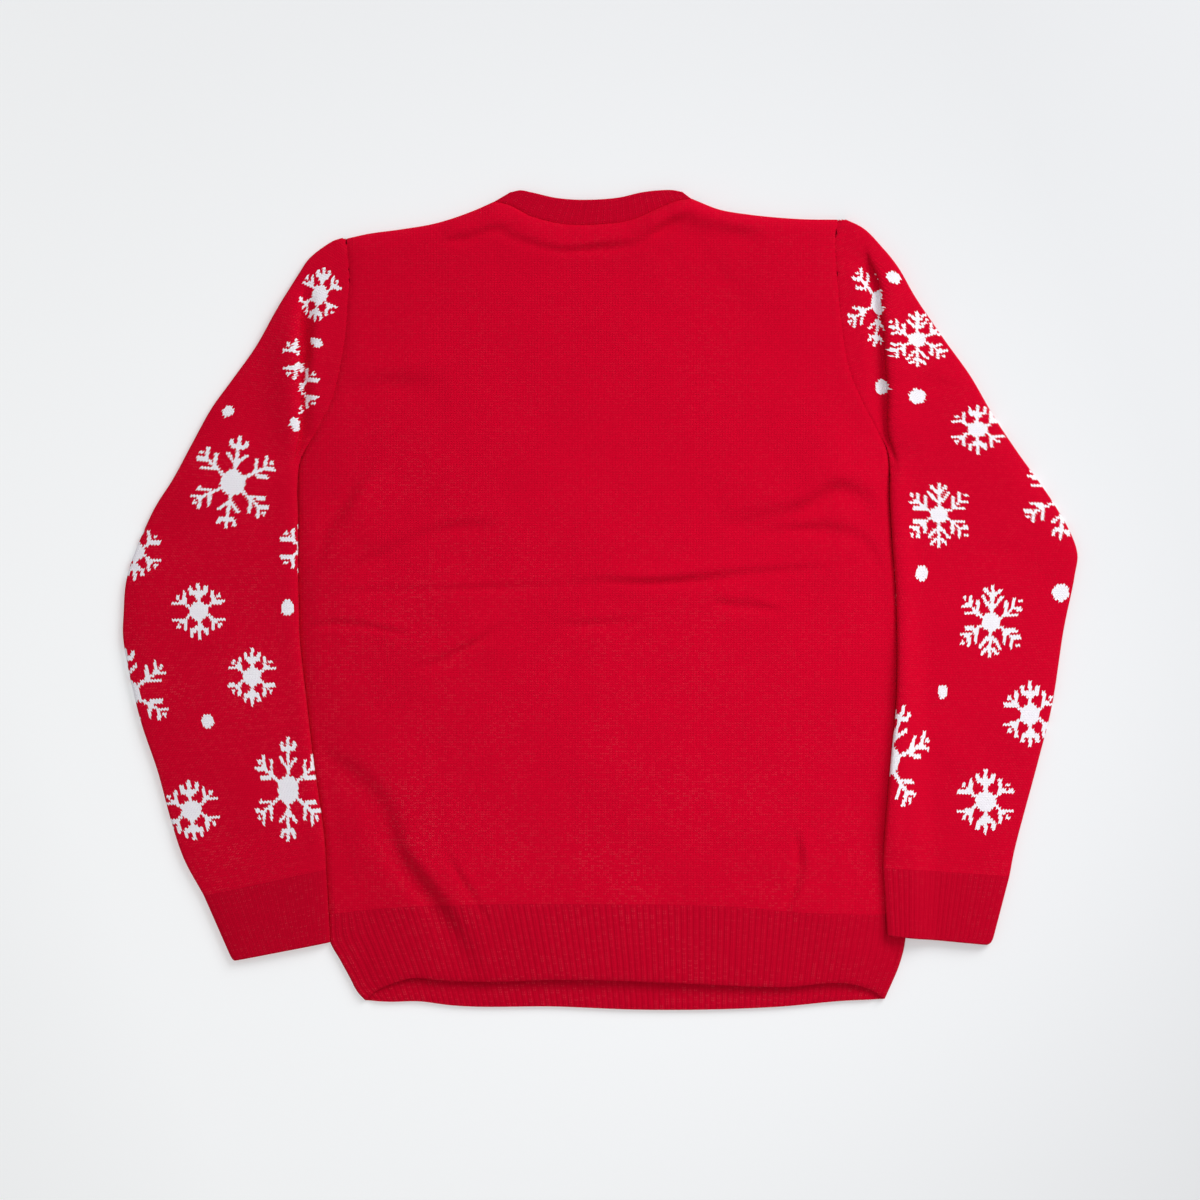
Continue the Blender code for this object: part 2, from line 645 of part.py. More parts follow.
def tube_row(row, sewn, lifts):
    """The outer and inner rings of a flattened sleeve at one row.

    Each ring runs over the top from the inner edge, round the outer edge, back under
    and up the inner edge.
    """
    start, end = np.array(row[2:4]), np.array(row[0:2])
    width = np.linalg.norm(end - start)
    ahead = (end - start) / width
    edge = SEAM + (TUBE_ROUND - SEAM) * (1 - sewn)
    outer_round = min(TUBE_ROUND, width * 0.3)
    plain, lapped, share = lay_columns(row, width, edge)
    plain = np.minimum(plain, width - outer_round)
    lapped = np.minimum(lapped, width - outer_round)
    seam_level = back_level(start[0], start[1])

    def base(places):
        y = start[1] + ahead[1] * places
        return sleeve_lift(y, places) if lifts else np.zeros(len(places))

    def crease(places):
        x, y = start[0] + ahead[0] * places, start[1] + ahead[1] * places
        middle = smooth(np.minimum(places, width - places) / SLEEVE_ROLL)
        return relief(SLEEVE_CREASES, x, y) * middle

    height = upper_height(row, plain, width, seam_level, sewn)
    height = lip_height(row, plain, width, height, share)
    top = base(plain) + height + crease(plain)
    lip = slice(STRIP_COLUMNS, STRIP_COLUMNS + len(LIP))
    roof = base(plain) + height - WALL + crease(plain)
    low = base(plain) + WALL
    roof[lip] -= (height[lip] - height[STRIP_COLUMNS]) * share
    roof = np.clip(roof, low + 0.4, low + MOST_HOLLOW)

    under = edge + (width - outer_round - edge) * np.array(UNDER_STEPS[::-1])
    bottom = base(under)
    turn = np.radians([60.0, 0.0, -60.0])
    far_mid = (top[-1] + bottom[0]) / 2
    far = width - outer_round + outer_round * np.cos(turn)
    far_z = far_mid + (top[-1] - bottom[0]) / 2 * np.sin(turn)
    near_mid = (top[0] + bottom[-1]) / 2
    near = edge - (edge - SEAM * sewn) * np.cos(turn[::-1])
    near_z = near_mid + (top[0] - bottom[-1]) / 2 * np.sin(turn[::-1])
    inner_far = np.full(3, width - outer_round + 0.2 * outer_round)
    inner_far_z = far_mid + (roof[-1] - bottom[0] - WALL) / 2 * np.sin(turn)
    inner_near = np.full(3, edge - 0.2 * (edge - SEAM * sewn))
    inner_near_z = near_mid + (roof[0] - bottom[-1] - WALL) / 2 * np.sin(turn[::-1])

    def ring(places, heights):
        xy = start + ahead * places[:, None]
        return np.concatenate([xy, heights[:, None]], axis=1)

    outer = ring(np.concatenate([lapped, far, under, near]),
                 np.concatenate([top, far_z, bottom, near_z]))
    inner = ring(np.concatenate([plain, inner_far, under, inner_near]),
                 np.concatenate([roof, inner_far_z, bottom + WALL, inner_near_z]))
    return outer, inner


def sleeve(name, table, lifts, material, collection):
    """A tube that is open along the armhole, then closed down to the cuff."""
    rows = sleeve_rows(table, sleeve_steps(table))
    outer_rings, inner_rings = [], []
    for i, row in enumerate(rows):
        sewn = 1.0 if i < CAP_ROWS else 0.6 if i == CAP_ROWS else 0.0
        outer, inner = tube_row(row, sewn, lifts)
        outer_rings.append(outer)
        inner_rings.append(inner)
    bm = bmesh.new()
    outer = add_points(bm, np.array(outer_rings))
    inner = add_points(bm, np.array(inner_rings))
    columns = outer.shape[1]
    sewn_columns = columns - 3
    for i in range(len(rows) - 1):
        last = sewn_columns - 1 if i < CAP_ROWS else columns
        for verts in (outer, inner):
            for j in range(last):
                k = (j + 1) % columns
                bm.faces.new((verts[i, j], verts[i, k], verts[i + 1, k], verts[i + 1, j]))
    rim = list(range(sewn_columns))
    around = [(0, j) for j in rim]
    around += [(i, sewn_columns - 1) for i in range(1, CAP_ROWS + 1)]
    around += [(CAP_ROWS, j) for j in range(sewn_columns, columns)]
    around += [(i, 0) for i in range(CAP_ROWS, 0, -1)]
    cuff_end = [(len(rows) - 1, j) for j in range(columns)]
    for loop in (around, cuff_end):
        for here, there in zip(loop, loop[1:] + loop[:1]):
            bm.faces.new((outer[here], outer[there], inner[there], inner[here]))
    spare = [v for v in bm.verts if not v.link_faces]
    bmesh.ops.delete(bm, geom=spare, context="VERTS")
    return new_object(name, bm, material, collection)


def cuff(name, table, end, lifts, material, collection):
    """A ribbed tube from the sleeve's last row to the cuff's open end."""
    wave = ribs(CUFF_RIBS)
    outer_rings, inner_rings = [], []
    first = np.array(table[-1], float)
    last = np.array(end, float)
    length = np.linalg.norm(last[:2] - first[:2])
    for share in np.linspace(SEAM / length, 1, HEM_ROWS + 1):
        row = first + (last - first) * share
        start, stop = row[2:4], row[0:2]
        width = np.linalg.norm(stop - start)
        ahead = (stop - start) / width
        place = np.linspace(TUBE_ROUND, width - TUBE_ROUND, len(wave))
        under = np.linspace(width - TUBE_ROUND, TUBE_ROUND, CUFF_UNDER_COLUMNS + 1)

        def base(places):
            y = start[1] + ahead[1] * places
            return sleeve_lift(y, places) if lifts else np.zeros(len(places))

        rise = SLEEVE_CROWN * roll(np.minimum(place, width - place), SLEEVE_ROLL)
        floor = base(place)
        roof = floor + WALL + TUBE_HOLLOW + rise
        top = roof + RIB_WALL + RIB_RISE * wave
        turn = np.radians([60.0, 0.0, -60.0])
        mid_far = (top[-1] + base(under)[0]) / 2
        mid_near = (top[0] + base(under)[-1]) / 2
        half_far = (top[-1] - base(under)[0]) / 2
        half_near = (top[0] - base(under)[-1]) / 2
        places = np.concatenate([
            place,
            width - TUBE_ROUND + TUBE_ROUND * np.cos(turn),
            under,
            TUBE_ROUND - TUBE_ROUND * np.cos(turn),
        ])
        heights = np.concatenate([
            top,
            mid_far + half_far * np.sin(turn),
            base(under),
            mid_near - half_near * np.sin(turn),
        ])
        inner_places = np.concatenate([place[::PLAIN_EVERY], under[::PLAIN_EVERY]])
        inner_heights = np.concatenate([roof[::PLAIN_EVERY], base(under)[::PLAIN_EVERY] + WALL])
        for rings, s, z in (
            (outer_rings, places, heights),
            (inner_rings, inner_places, inner_heights),
        ):
            xy = start + ahead * s[:, None]
            rings.append(np.concatenate([xy, z[:, None]], axis=1))
    bm = wall(np.array(outer_rings), np.array(inner_rings), True)
    return new_object(name, bm, material, collection)


# Collar

def neck_half(seam, edge, columns):
    """Points along the seam, which follow the panel's own columns, and along the free edge."""
    shares = np.linspace(0, 1, columns + 1)
    coarse = along(seam, neck_shares())
    sewn = np.stack([np.interp(shares, neck_shares(), coarse[:, i]) for i in (0, 1)], 1)
    return sewn, along(edge, shares)


def neckband(material, collection):
    """A ribbed loop: its back half on top, and its front half below, in the front's neckline."""
    back_seam, back_edge = neck_half(BACK_NECK, BACK_NECK_EDGE, 2 * NECK_RIBS)
    front_seam, front_edge = neck_half(FRONT_NECK, FRONT_NECK_EDGE, NECK_FRONT_COLUMNS)
    wave = ribs(NECK_RIBS)
    turn = np.linspace(1.3, -1.3, NECK_PLAIN_EVERY - 1)
    outer_rings, inner_rings = [], []
    for share in np.linspace(NECK_SEAM_SHARE, 1, NECK_ROWS + 1):
        upper = back_seam + (back_edge - back_seam) * share
        lower = (front_seam + (front_edge - front_seam) * share)[::-1]
        level = np.maximum(back_level(upper[:, 0], back_seam[:, 1]), REST)
        middle = (level[0] + RIB_WALL) / 2
        bulge = np.stack([NECK_TURN * share * np.cos(turn), np.zeros(len(turn))], 1)
        sides = middle * np.sin(turn)
        outer = np.concatenate([
            lifted(upper, level + RIB_WALL + RIB_RISE * wave),
            lifted(upper[-1] + bulge, middle + sides),
            lifted(lower, np.zeros(len(lower))),
            lifted(upper[0] - bulge, middle - sides),
        ])
        inner = np.concatenate([
            lifted(upper, level)[::NECK_PLAIN_EVERY],
            lifted(lower, np.full(len(lower), WALL))[::NECK_PLAIN_EVERY],
        ])
        outer_rings.append(outer)
        inner_rings.append(inner)
    bm = wall(np.array(outer_rings), np.array(inner_rings), True)
    return new_object("neckband", bm, material, collection)


def knit_material(name, color, roughness):
    material = bpy.data.materials.new(name)
    material.use_nodes = True
    shader = material.node_tree.nodes["Principled BSDF"]
    shader.inputs["Base Color"].default_value = (*color, 1.0)
    shader.inputs["Roughness"].default_value = roughness
    shader.inputs["Metallic"].default_value = 0.0
    return material


def main():
    for obj in list(bpy.data.objects):
        bpy.data.objects.remove(obj)
    collection = bpy.data.collections.new(NAME)
    bpy.context.scene.collection.children.link(collection)
    plain = knit_material("red_knit", (0.58, 0.0, 0.018), 0.85)
    patterned = knit_material("patterned_knit", (0.60, 0.0, 0.02), 0.85)
    rib = knit_material("red_rib", (0.50, 0.0, 0.016), 0.9)
    front_panel(plain, collection)
    back_panel(plain, collection)
    hem_rib_front(rib, collection)
    hem_rib_back(rib, collection)
    sleeve("sleeve_left", LEFT_SLEEVE, False, patterned, collection)
    sleeve("sleeve_right", RIGHT_SLEEVE, True, patterned, collection)
    cuff("cuff_left", LEFT_SLEEVE, LEFT_CUFF_END, False, rib, collection)
    cuff("cuff_right", RIGHT_SLEEVE, RIGHT_CUFF_END, True, rib, collection)
    neckband(rib, collection)


main()
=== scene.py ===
# %% [markdown]
# # A knitted jumper, laid flat on its front with its back up
#
# This lesson dresses a plain model of a jumper as the real knitted thing. The plain
# model gives every panel its size and its place, and this script only reads it. Each
# panel is then laid again as finer cloth on the same lines, with its folds, its ribs
# and its knitted-in snowflakes. Lengths are in millimetres until a mesh is written.

# %% Load the plain model and keep its box
import math
from collections import namedtuple

import bpy
import numpy as np
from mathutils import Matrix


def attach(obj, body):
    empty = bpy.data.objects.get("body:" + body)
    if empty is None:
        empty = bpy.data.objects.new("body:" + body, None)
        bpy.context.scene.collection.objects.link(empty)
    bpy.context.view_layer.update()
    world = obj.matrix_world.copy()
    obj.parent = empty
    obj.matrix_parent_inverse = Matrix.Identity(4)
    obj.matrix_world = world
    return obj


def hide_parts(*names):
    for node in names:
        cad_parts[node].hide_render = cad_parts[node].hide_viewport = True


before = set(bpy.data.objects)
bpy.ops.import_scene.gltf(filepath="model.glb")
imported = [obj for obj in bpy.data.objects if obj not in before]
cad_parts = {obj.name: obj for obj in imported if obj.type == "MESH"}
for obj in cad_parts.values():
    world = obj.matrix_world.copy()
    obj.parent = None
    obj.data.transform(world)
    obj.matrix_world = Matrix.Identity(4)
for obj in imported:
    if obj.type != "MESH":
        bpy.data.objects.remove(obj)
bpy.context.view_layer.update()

MM = 0.001
print("panels to dress", sorted(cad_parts))

# %% [markdown]
# ## The measures of the cloth
#
# A knitter works from a schematic: widths, lengths and where the armholes lie. These
# tables are that schematic, read along each edge of the garment as it lies. They are
# nearly the plain model's own, so the finer cloth meets it without any fitting. The edges
# could also be read back from the plain meshes, but a table shows the cut at a glance.

# %% One layer of cloth
WALL = 2.4            # one layer of plain knit
RIB_WALL = 2.0        # one layer of rib, in its furrows
print("plain knit", WALL, "mm thick, rib", RIB_WALL, "mm")

# %% Edges of the sleeves
# fold: where the cap is folded, as a share of the width; lip: how far the fold laps, in mm
SleeveRow = namedtuple(
    "SleeveRow", "outer_x outer_y inner_x inner_y fold lip", defaults=(0.06, 0.0)
)
UNDERARM_ROW = 8      # the row at which the body ends and the sleeve runs free
LEFT_SLEEVE = (
    SleeveRow(-232.2, 326.3, -228.2, 325.4, 0.90, 0.0),
    SleeveRow(-243.0, 322.2, -226.8, 310.5, 0.88, 0.0),
    SleeveRow(-261.0, 308.7, -225.2, 288.0, 0.84, 0.0),
    SleeveRow(-271.8, 293.4, -226.6, 270.0, 0.76, 0.5),
    SleeveRow(-291.6, 261.0, -228.6, 243.0, 0.63, 3.5),
    SleeveRow(-310.5, 227.7, -232.6, 216.0, 0.46, 5.0),
    SleeveRow(-334.0, 195.0, -240.0, 183.6, 0.30, 5.0),
    SleeveRow(-350.5, 172.0, -252.6, 157.0, 0.17, 4.5),
    SleeveRow(-366.5, 143.0, -269.1, 127.8, 0.03, 1.8),
    SleeveRow(-384.3, 109.8, -272.3, 102.0, 0.03, 0.0),
    SleeveRow(-404.1, 77.4, -271.8, 72.0),
    SleeveRow(-424.8, 26.1, -271.8, 24.3),
    SleeveRow(-429.3, -12.6, -270.9, -10.8),
    SleeveRow(-428.4, -44.1, -269.8, -40.5),
    SleeveRow(-414.9, -105.3, -263.7, -94.5),
    SleeveRow(-398.7, -153.9, -257.7, -145.8),
    SleeveRow(-387.0, -197.0, -251.6, -187.0),
    SleeveRow(-375.0, -233.0, -247.8, -217.0),
    SleeveRow(-356.9, -266.4, -246.6, -242.6),
)
RIGHT_SLEEVE = (
    SleeveRow(221.4, 342.9, 213.8, 342.5, 0.90, 0.0),
    SleeveRow(237.6, 334.8, 211.6, 325.8, 0.86, 0.0),
    SleeveRow(252.0, 320.4, 212.4, 304.2, 0.62, 1.2),
    SleeveRow(268.5, 299.5, 214.7, 274.5, 0.64, 3.8),
    SleeveRow(284.6, 272.0, 217.8, 244.8, 0.53, 5.0),
    SleeveRow(310.4, 234.4, 224.1, 208.8, 0.37, 5.0),
    SleeveRow(333.9, 201.6, 235.8, 179.1, 0.23, 5.0),
    SleeveRow(354.4, 166.0, 249.6, 153.0, 0.085, 4.2),
    SleeveRow(375.3, 134.5, 259.8, 131.0, 0.020, 1.8),
    SleeveRow(409.4, 86.0, 261.0, 90.0, 0.03, 0.0),
    SleeveRow(429.0, 47.5, 263.3, 49.5),
    SleeveRow(427.5, 20.7, 266.0, 13.5),
    SleeveRow(417.6, -27.9, 267.3, -36.0),
    SleeveRow(407.7, -92.7, 266.2, -90.0),
    SleeveRow(395.1, -144.0, 261.5, -141.3),
    SleeveRow(375.3, -217.8, 255.6, -211.5),
    SleeveRow(369.0, -248.4, 254.3, -240.3),
)
LEFT_CUFF_END = SleeveRow(-331.2, -324.9, -242.8, -307.8)
RIGHT_CUFF_END = SleeveRow(352.8, -310.6, 258.3, -301.5)
LEFT_UNDERARM = LEFT_SLEEVE[UNDERARM_ROW].inner_y
print("rows of the left and right sleeve", len(LEFT_SLEEVE), len(RIGHT_SLEEVE))

# %% Edges of the body
HIDDEN_SIDE = (
    (265.9, -75.0), (267.5, -120.0), (270.0, -160.0), (272.0, -200.0),
    (274.0, -240.0), (275.4, -283.0),
)
LEFT_SHOULDER = (
    (-228.2, 325.4), (-210.6, 329.4), (-179.1, 333.8), (-149.4, 338.9),
    (-114.3, 350.4), (-95.4, 358.7),
)
RIGHT_SHOULDER = (
    (213.8, 342.5), (182.7, 342.9), (156.6, 344.7), (131.4, 347.4),
    (108.9, 351.2), (82.0, 361.5),
)
BACK_NECK = (
    (-95.4, 358.7), (-84.0, 356.4), (-63.0, 345.9), (-36.0, 338.9), (0.0, 338.2),
    (27.0, 341.8), (54.0, 353.2), (68.0, 358.9), (82.0, 361.5),
)
FRONT_NECK = (
    (-95.4, 358.7), (-84.0, 334.0), (-52.0, 302.0), (-8.0, 291.0), (38.0, 302.0),
    (70.0, 334.0), (82.0, 361.5),
)
RIB_LINE = (
    (-244.8, -283.0), (-194.0, -277.5), (-120.0, -274.0), (0.0, -273.6),
    (110.0, -275.4), (200.0, -282.0), (275.4, -283.0),
)
LEFT_HEM_SIDE = (
    (-244.8, -283.0), (-243.2, -308.0), (-234.4, -324.0), (-225.5, -340.2),
    (-218.0, -354.0), (-211.5, -360.8),
)
RIGHT_HEM_SHOWN = (
    (256.6, -283.0), (258.0, -306.0), (265.0, -320.0), (262.5, -336.0), (256.5, -359.6),
)
RIGHT_HEM_SIDE = (
    (275.4, -283.0), (275.2, -306.0), (268.2, -333.0), (262.6, -346.0), (256.5, -359.6),
)
print("the rib line is", RIB_LINE[-1][0] - RIB_LINE[0][0], "mm wide")

# %% [markdown]
# ## Curves through the tables
#
# Cloth has no corners of its own. A cubic curve through the rows of a table bends as
# softly as a knitted edge does, and a patch between four such edges spreads a panel
# evenly, as a panel is blocked on a board.

# %% Curves and patches


def smooth(share):
    share = np.clip(share, 0.0, 1.0)
    return share * share * (3 - 2 * share)


def roll(distance, radius):
    """0 at an edge, rising as a quarter circle to 1 at a radius in from it."""
    left = 1 - np.clip(distance / radius, 0.0, 1.0)
    return np.sqrt(1 - left * left)


def curve(points, stations, where):
    """A smooth curve through the points, which it passes at the stations."""
    slopes = np.gradient(points, stations, axis=0)
    where = np.clip(where, stations[0], stations[-1])
    i = np.clip(np.searchsorted(stations, where, side="right") - 1, 0, len(stations) - 2)
    step = (stations[i + 1] - stations[i])[:, None]
    t = (where - stations[i])[:, None] / step
    start = points[i] * (1 + 2 * t) * (1 - t) ** 2 + points[i + 1] * t * t * (3 - 2 * t)
    return start + step * (slopes[i] * t * (1 - t) ** 2 - slopes[i + 1] * t * t * (1 - t))


def along(points, shares):
    """The points at these shares of a smooth curve through a table's rows."""
    points = np.array(points, float)
    steps = np.linalg.norm(np.diff(points[:, :2], axis=0), axis=1)
    stations = np.concatenate([[0.0], np.cumsum(steps)])
    return curve(points, stations, np.asarray(shares) * stations[-1])


def patch(top, bottom, left, right):
    """A grid between four edges that meet at the corners, rows down from the top."""
    down = np.linalg.norm(np.diff(left, axis=0), axis=1)
    v = np.concatenate([[0.0], np.cumsum(down)])[:, None, None] / down.sum()
    across = np.linalg.norm(np.diff(bottom, axis=0), axis=1)
    u = np.concatenate([[0.0], np.cumsum(across)])[None, :, None] / across.sum()
    rows = (1 - v) * top[None] + v * bottom[None]
    columns = (1 - u) * left[:, None] + u * right[:, None]
    upper = (1 - u) * top[0] + u * top[-1]
    lower = (1 - u) * bottom[0] + u * bottom[-1]
    return rows + columns - (1 - v) * upper - v * lower


def sleeve_rows(table, steps):
    rows = np.array(table, float)
    return curve(rows, np.arange(len(rows), dtype=float), np.asarray(steps, float))


print("a quarter circle, a tenth, a half and the whole way in:", roll(np.array([0.1, 0.5, 1]), 1))

# %% Sides of the body
BESIDE = 0.2          # gap between the body's edge and a sleeve
TUCK = 1.7            # how far the body goes on under the right sleeve
LIFT_FROM, LIFT_LENGTH = 5.0, 85.0   # where that sleeve climbs onto the body, and how fast
CAP = np.linspace(0, UNDERARM_ROW, 61)
BELOW = np.linspace(0, 1, 141)[1:]


def beside(table, end, y):
    """The body's edge at Y where it follows a sleeve and its cuff."""
    steps = np.linspace(0, len(table) - 1, 200)
    rows = np.concatenate([sleeve_rows(table, steps), [end]])
    return np.interp(-y, -rows[:, 3], rows[:, 2]) - np.sign(rows[0, 2]) * BESIDE


def side(table, end, hidden):
    """One side of the body, from the shoulder tip down to the rib."""
    seam = sleeve_rows(table, CAP)[:, 2:4]
    y = seam[-1, 1] + BELOW * (RIB_LINE[0][1] - seam[-1, 1])
    x = beside(table, end, y)
    if hidden:
        under = np.array(hidden)
        tucked = x + TUCK * smooth((LIFT_FROM - y) / LIFT_LENGTH)
        known = np.interp(-y, -under[:, 1], under[:, 0])
        x = np.maximum(tucked, np.where(y < under[0, 1], known, x))
    return np.concatenate([seam, np.stack([x, y], 1)])


left_side = side(LEFT_SLEEVE, LEFT_CUFF_END, None)
right_side = side(RIGHT_SLEEVE, RIGHT_CUFF_END, HIDDEN_SIDE)
right_shown = side(RIGHT_SLEEVE, RIGHT_CUFF_END, None)
chest = right_side[len(CAP), 0] - left_side[len(CAP), 0]
print("the body is", round(float(chest), 1), "mm wide just below the underarms")

# %% The body's grid and its edges
SHOULDER, NECK = np.linspace(0, 1, 53), np.linspace(0, 1, 65)
body_columns = np.concatenate([SHOULDER[:-1] / 3, (1 + NECK) / 3, 1 - SHOULDER[-2::-1] / 3])


def body_grid(neck):
    left, right = along(LEFT_SHOULDER, SHOULDER), along(RIGHT_SHOULDER, SHOULDER)
    top = np.concatenate([left[:-1], along(neck, NECK), right[-2::-1]])
    return patch(top, along(RIB_LINE, body_columns), left_side, right_side)


def edge_line(points, hem_side):
    edge = np.concatenate([points, np.array(hem_side, float)[1:]])
    return edge[::-1, 1], edge[::-1, 0]


LEFT_EDGE = edge_line(left_side, LEFT_HEM_SIDE)
RIGHT_EDGE = edge_line(right_side, RIGHT_HEM_SIDE)
SHOWN_EDGE = edge_line(right_shown, RIGHT_HEM_SHOWN)
back_grid = body_grid(BACK_NECK)
print("back panel grid", back_grid.shape[:2])

# %% [markdown]
# ## Folds
#
# A laid jumper is never flat. Where the cloth has been pushed together one side laps a
# little over the other: it drops in a short step, then climbs back slowly. Cloth
# simulation makes such folds anywhere it likes, so here each one is listed, in
# millimetres: how far it drops, how wide the step is, how deep a furrow runs along it, and
# its path. The higher side is on the left of the path. A slow swell of a few tenths of a
# millimetre keeps the rest from looking ironed.

# %% Folds of the back
Fold = namedtuple("Fold", "drop width furrow path")
BACK_FOLDS = (
    Fold(2.6, 3.2, 3.2, ((-140, 322), (-115, 327), (-98, 333), (-80, 334))),
    Fold(2.5, 2.8, 3.0, ((-88, 330), (-66, 322), (-38, 315), (0, 317), (38, 321), (52, 323))),
    Fold(3.2, 3.6, 4.0, ((34, 321), (52, 332), (64, 339), (84, 348))),
    Fold(4.8, 7.0, 1.8, ((60, 341), (110, 333), (150, 327))),
    Fold(5.0, 8.0, 1.4, ((-230, 192), (-180, 197), (-135, 195))),
    Fold(5.0, 7.0, 3.8, ((-202, 124), (-224, 95), (-245, 63), (-254, 30))),
    Fold(2.6, 5.0, 1.8, ((-228, 25), (-185, 47), (-139, 65), (-86, 67))),
    Fold(0.8, 2.6, 1.4, ((-250, 7), (-180, 9), (-108, 11), (-40, 13), (-6, 14))),
    Fold(3.2, 3.4, 2.9, ((-34, 15), (0, 17), (40, 16), (80, 18), (140, 25), (206, 30))),
    Fold(0.5, 11.0, 0.0, ((-70, 40), (0, 44), (70, 42), (130, 52))),
    Fold(5.4, 7.0, 3.2, ((110, 68), (150, 75), (184, 84), (214, 101), (234, 94), (250, 64))),
    Fold(2.4, 5.0, 2.0, ((134, 58), (176, 64), (204, 64), (236, 55), (254, 26))),
    Fold(1.0, 2.4, 2.2, ((-266, -25), (-240, -21), (-212, -23), (-172, -31))),
    Fold(2.2, 3.2, 3.2, ((-163, -62), (-133, -50), (-109, -36), (-83, -16))),
    Fold(1.1, 3.6, 1.5, ((-46, -23), (0, -21), (44, -18))),
    Fold(1.8, 3.6, 2.3, ((100, -2), (130, -5), (164, -9))),
    Fold(7.2, 8.5, 4.9, (
        (-250, -138), (-224, -154), (-197, -184), (-180, -228), (-148, -270), (-124, -313),
        (-108, -350),
    )),
    Fold(1.0, 2.6, 1.9, ((-141, -222), (-123, -252), (-99, -290))),
    Fold(2.8, 3.0, 3.8, ((177, -206), (180, -232), (178, -254), (166, -280))),
    Fold(0.9, 9.0, 0.0, ((-180, -90), (-192, -130), (-186, -180))),
    Fold(0.9, 7.0, 0.3, ((96, 318), (118, 286), (150, 262))),
    Fold(0.7, 8.0, 0.2, ((-60, -160), (0, -168), (70, -160))),
)
print("folds on the back", len(BACK_FOLDS))

# %% Height of the folds
SLOWER = 1.6          # how much more slowly the lower side of a fold falls away
REACH = 34.0          # how far from a fold the cloth lies level again
HUMP = 0.4            # height of the swellings beside a furrow
PATH_STEPS = 24       # straight steps in which a fold's path is followed


def fold_height(folds, x, y):
    """The height that a table of folds adds at each point."""
    total = np.zeros(np.shape(x))
    for number, fold in enumerate(folds):
        path = along(fold.path, np.linspace(0, 1, PATH_STEPS + 1))
        nearest = np.full(np.shape(x), 1e9)
        aside = np.zeros(np.shape(x))
        share = np.zeros(np.shape(x))
        for k, (a, b) in enumerate(zip(path[:-1], path[1:])):
            run = b - a
            t = np.clip(((x - a[0]) * run[0] + (y - a[1]) * run[1]) / (run @ run), 0, 1)
            dx, dy = x - a[0] - t * run[0], y - a[1] - t * run[1]
            far = np.hypot(dx, dy)
            closer = far < nearest
            nearest = np.where(closer, far, nearest)
            turn = np.sign(run[0] * dy - run[1] * dx)
            aside = np.where(closer, far * turn, aside)
            share = np.where(closer, (k + t) / PATH_STEPS, share)
        fade = np.sin(np.pi * np.clip(share, 0, 1)) ** 0.7
        fade = fade * (1 + 0.25 * np.sin(share * 9 + number * 2.1))
        width = fold.width * (0.8 + 0.4 * np.sin(share * 5 + number) ** 2)
        width = np.where(aside < 0, width * SLOWER, width)
        step = fold.drop * 0.5 * np.tanh(aside / width) * np.exp(-abs(aside) / REACH)
        furrow = HUMP * np.exp(-((aside / width / 4) ** 2)) - np.exp(-((aside / width) ** 2))
        total += fade * (step + fold.furrow * furrow)
    return total


def swell(x, y, seed):
    """Slow, shallow unevenness, in millimetres."""
    waves = (
        (0.021, 0.034, 0.40), (-0.046, 0.025, 0.28), (0.071, 0.060, 0.14), (0.11, -0.13, 0.09),
    )
    total = np.zeros(np.shape(x))
    for k, (across, up, high) in enumerate(waves):
        total += high * np.sin(across * x + up * y + seed * 1.7 + k * 2.3)
    return total


print("the slow swell at the middle is", round(float(swell(0.0, 0.0, 0)), 2), "mm")

# %% [markdown]
# ## How high the back lies
#
# Two layers of knit hold a little air, so the back arches up over the front and rolls
# down at its free edges. It could be inflated by a cloth simulation, which gives a puffed
# cushion. A laid jumper is nearly flat, so its level is worked out instead: an arch that
# comes down as a quarter circle at each edge, plus the folds and the slow swell.

# %% Level of the back
REST = 2.7            # lowest level of the back's underside, just over the front
CROWN = 4.0           # how far the back arches up from that level
EDGE_ROLL = 17.0      # width over which the back rolls down to the side seam
ARMHOLE_ARCH = 0.55   # share of the crown at the armhole seam
NECK_ARCH = 0.15      # share of the crown at the back neck seam
RIGHT_CLIMB = 55.0    # how far in the back is up on the side that a sleeve presses down
LEAN, LEAN_WIDE = 3.4, 46.0     # how the back leans down to its free left side
SLUMP, SLUMP_WIDER = 2.4, 1.6   # how much more, and how much wider, towards the hem
SLUMP_FROM, SLUMP_LENGTH = -60, 160   # where that starts, and over what length it grows


def inward(x, y, edge, sign):
    return sign * (x - np.interp(y, *edge))


def back_level(x, y):
    """Height of the back's underside: arched, and rolled down at its edges."""
    left, right = inward(x, y, LEFT_EDGE, 1), inward(x, y, SHOWN_EDGE, -1)
    slump = smooth((SLUMP_FROM - y) / SLUMP_LENGTH)
    lean_wide = LEAN_WIDE * (1 + SLUMP_WIDER * slump)
    lean = (LEAN + SLUMP * slump) * np.clip(1 - left / lean_wide, 0, 1) ** 2
    lean = lean * smooth((LEFT_UNDERARM + 40 - y) / 60)
    climb = 0.2 * roll(right, 5.0) + 0.8 * smooth(right / RIGHT_CLIMB)
    top = np.interp(x, back_grid[0, :, 0], back_grid[0, :, 1]) - y
    at_side = ARMHOLE_ARCH * smooth((y - LEFT_UNDERARM) / 50)
    at_neck = NECK_ARCH * smooth((BACK_NECK[-1][0] - abs(x)) / 20)
    sides = at_side + (1 - at_side) * np.minimum(roll(left, EDGE_ROLL), climb)
    tops = at_neck + (1 - at_neck) * roll(top, EDGE_ROLL)
    inside = smooth(np.minimum(np.minimum(left, right), top + 6) / EDGE_ROLL)
    relief = fold_height(BACK_FOLDS, x, y) + swell(x, y, 0)
    return np.maximum(REST + CROWN * sides * tops - lean + relief * inside, REST - 0.1)


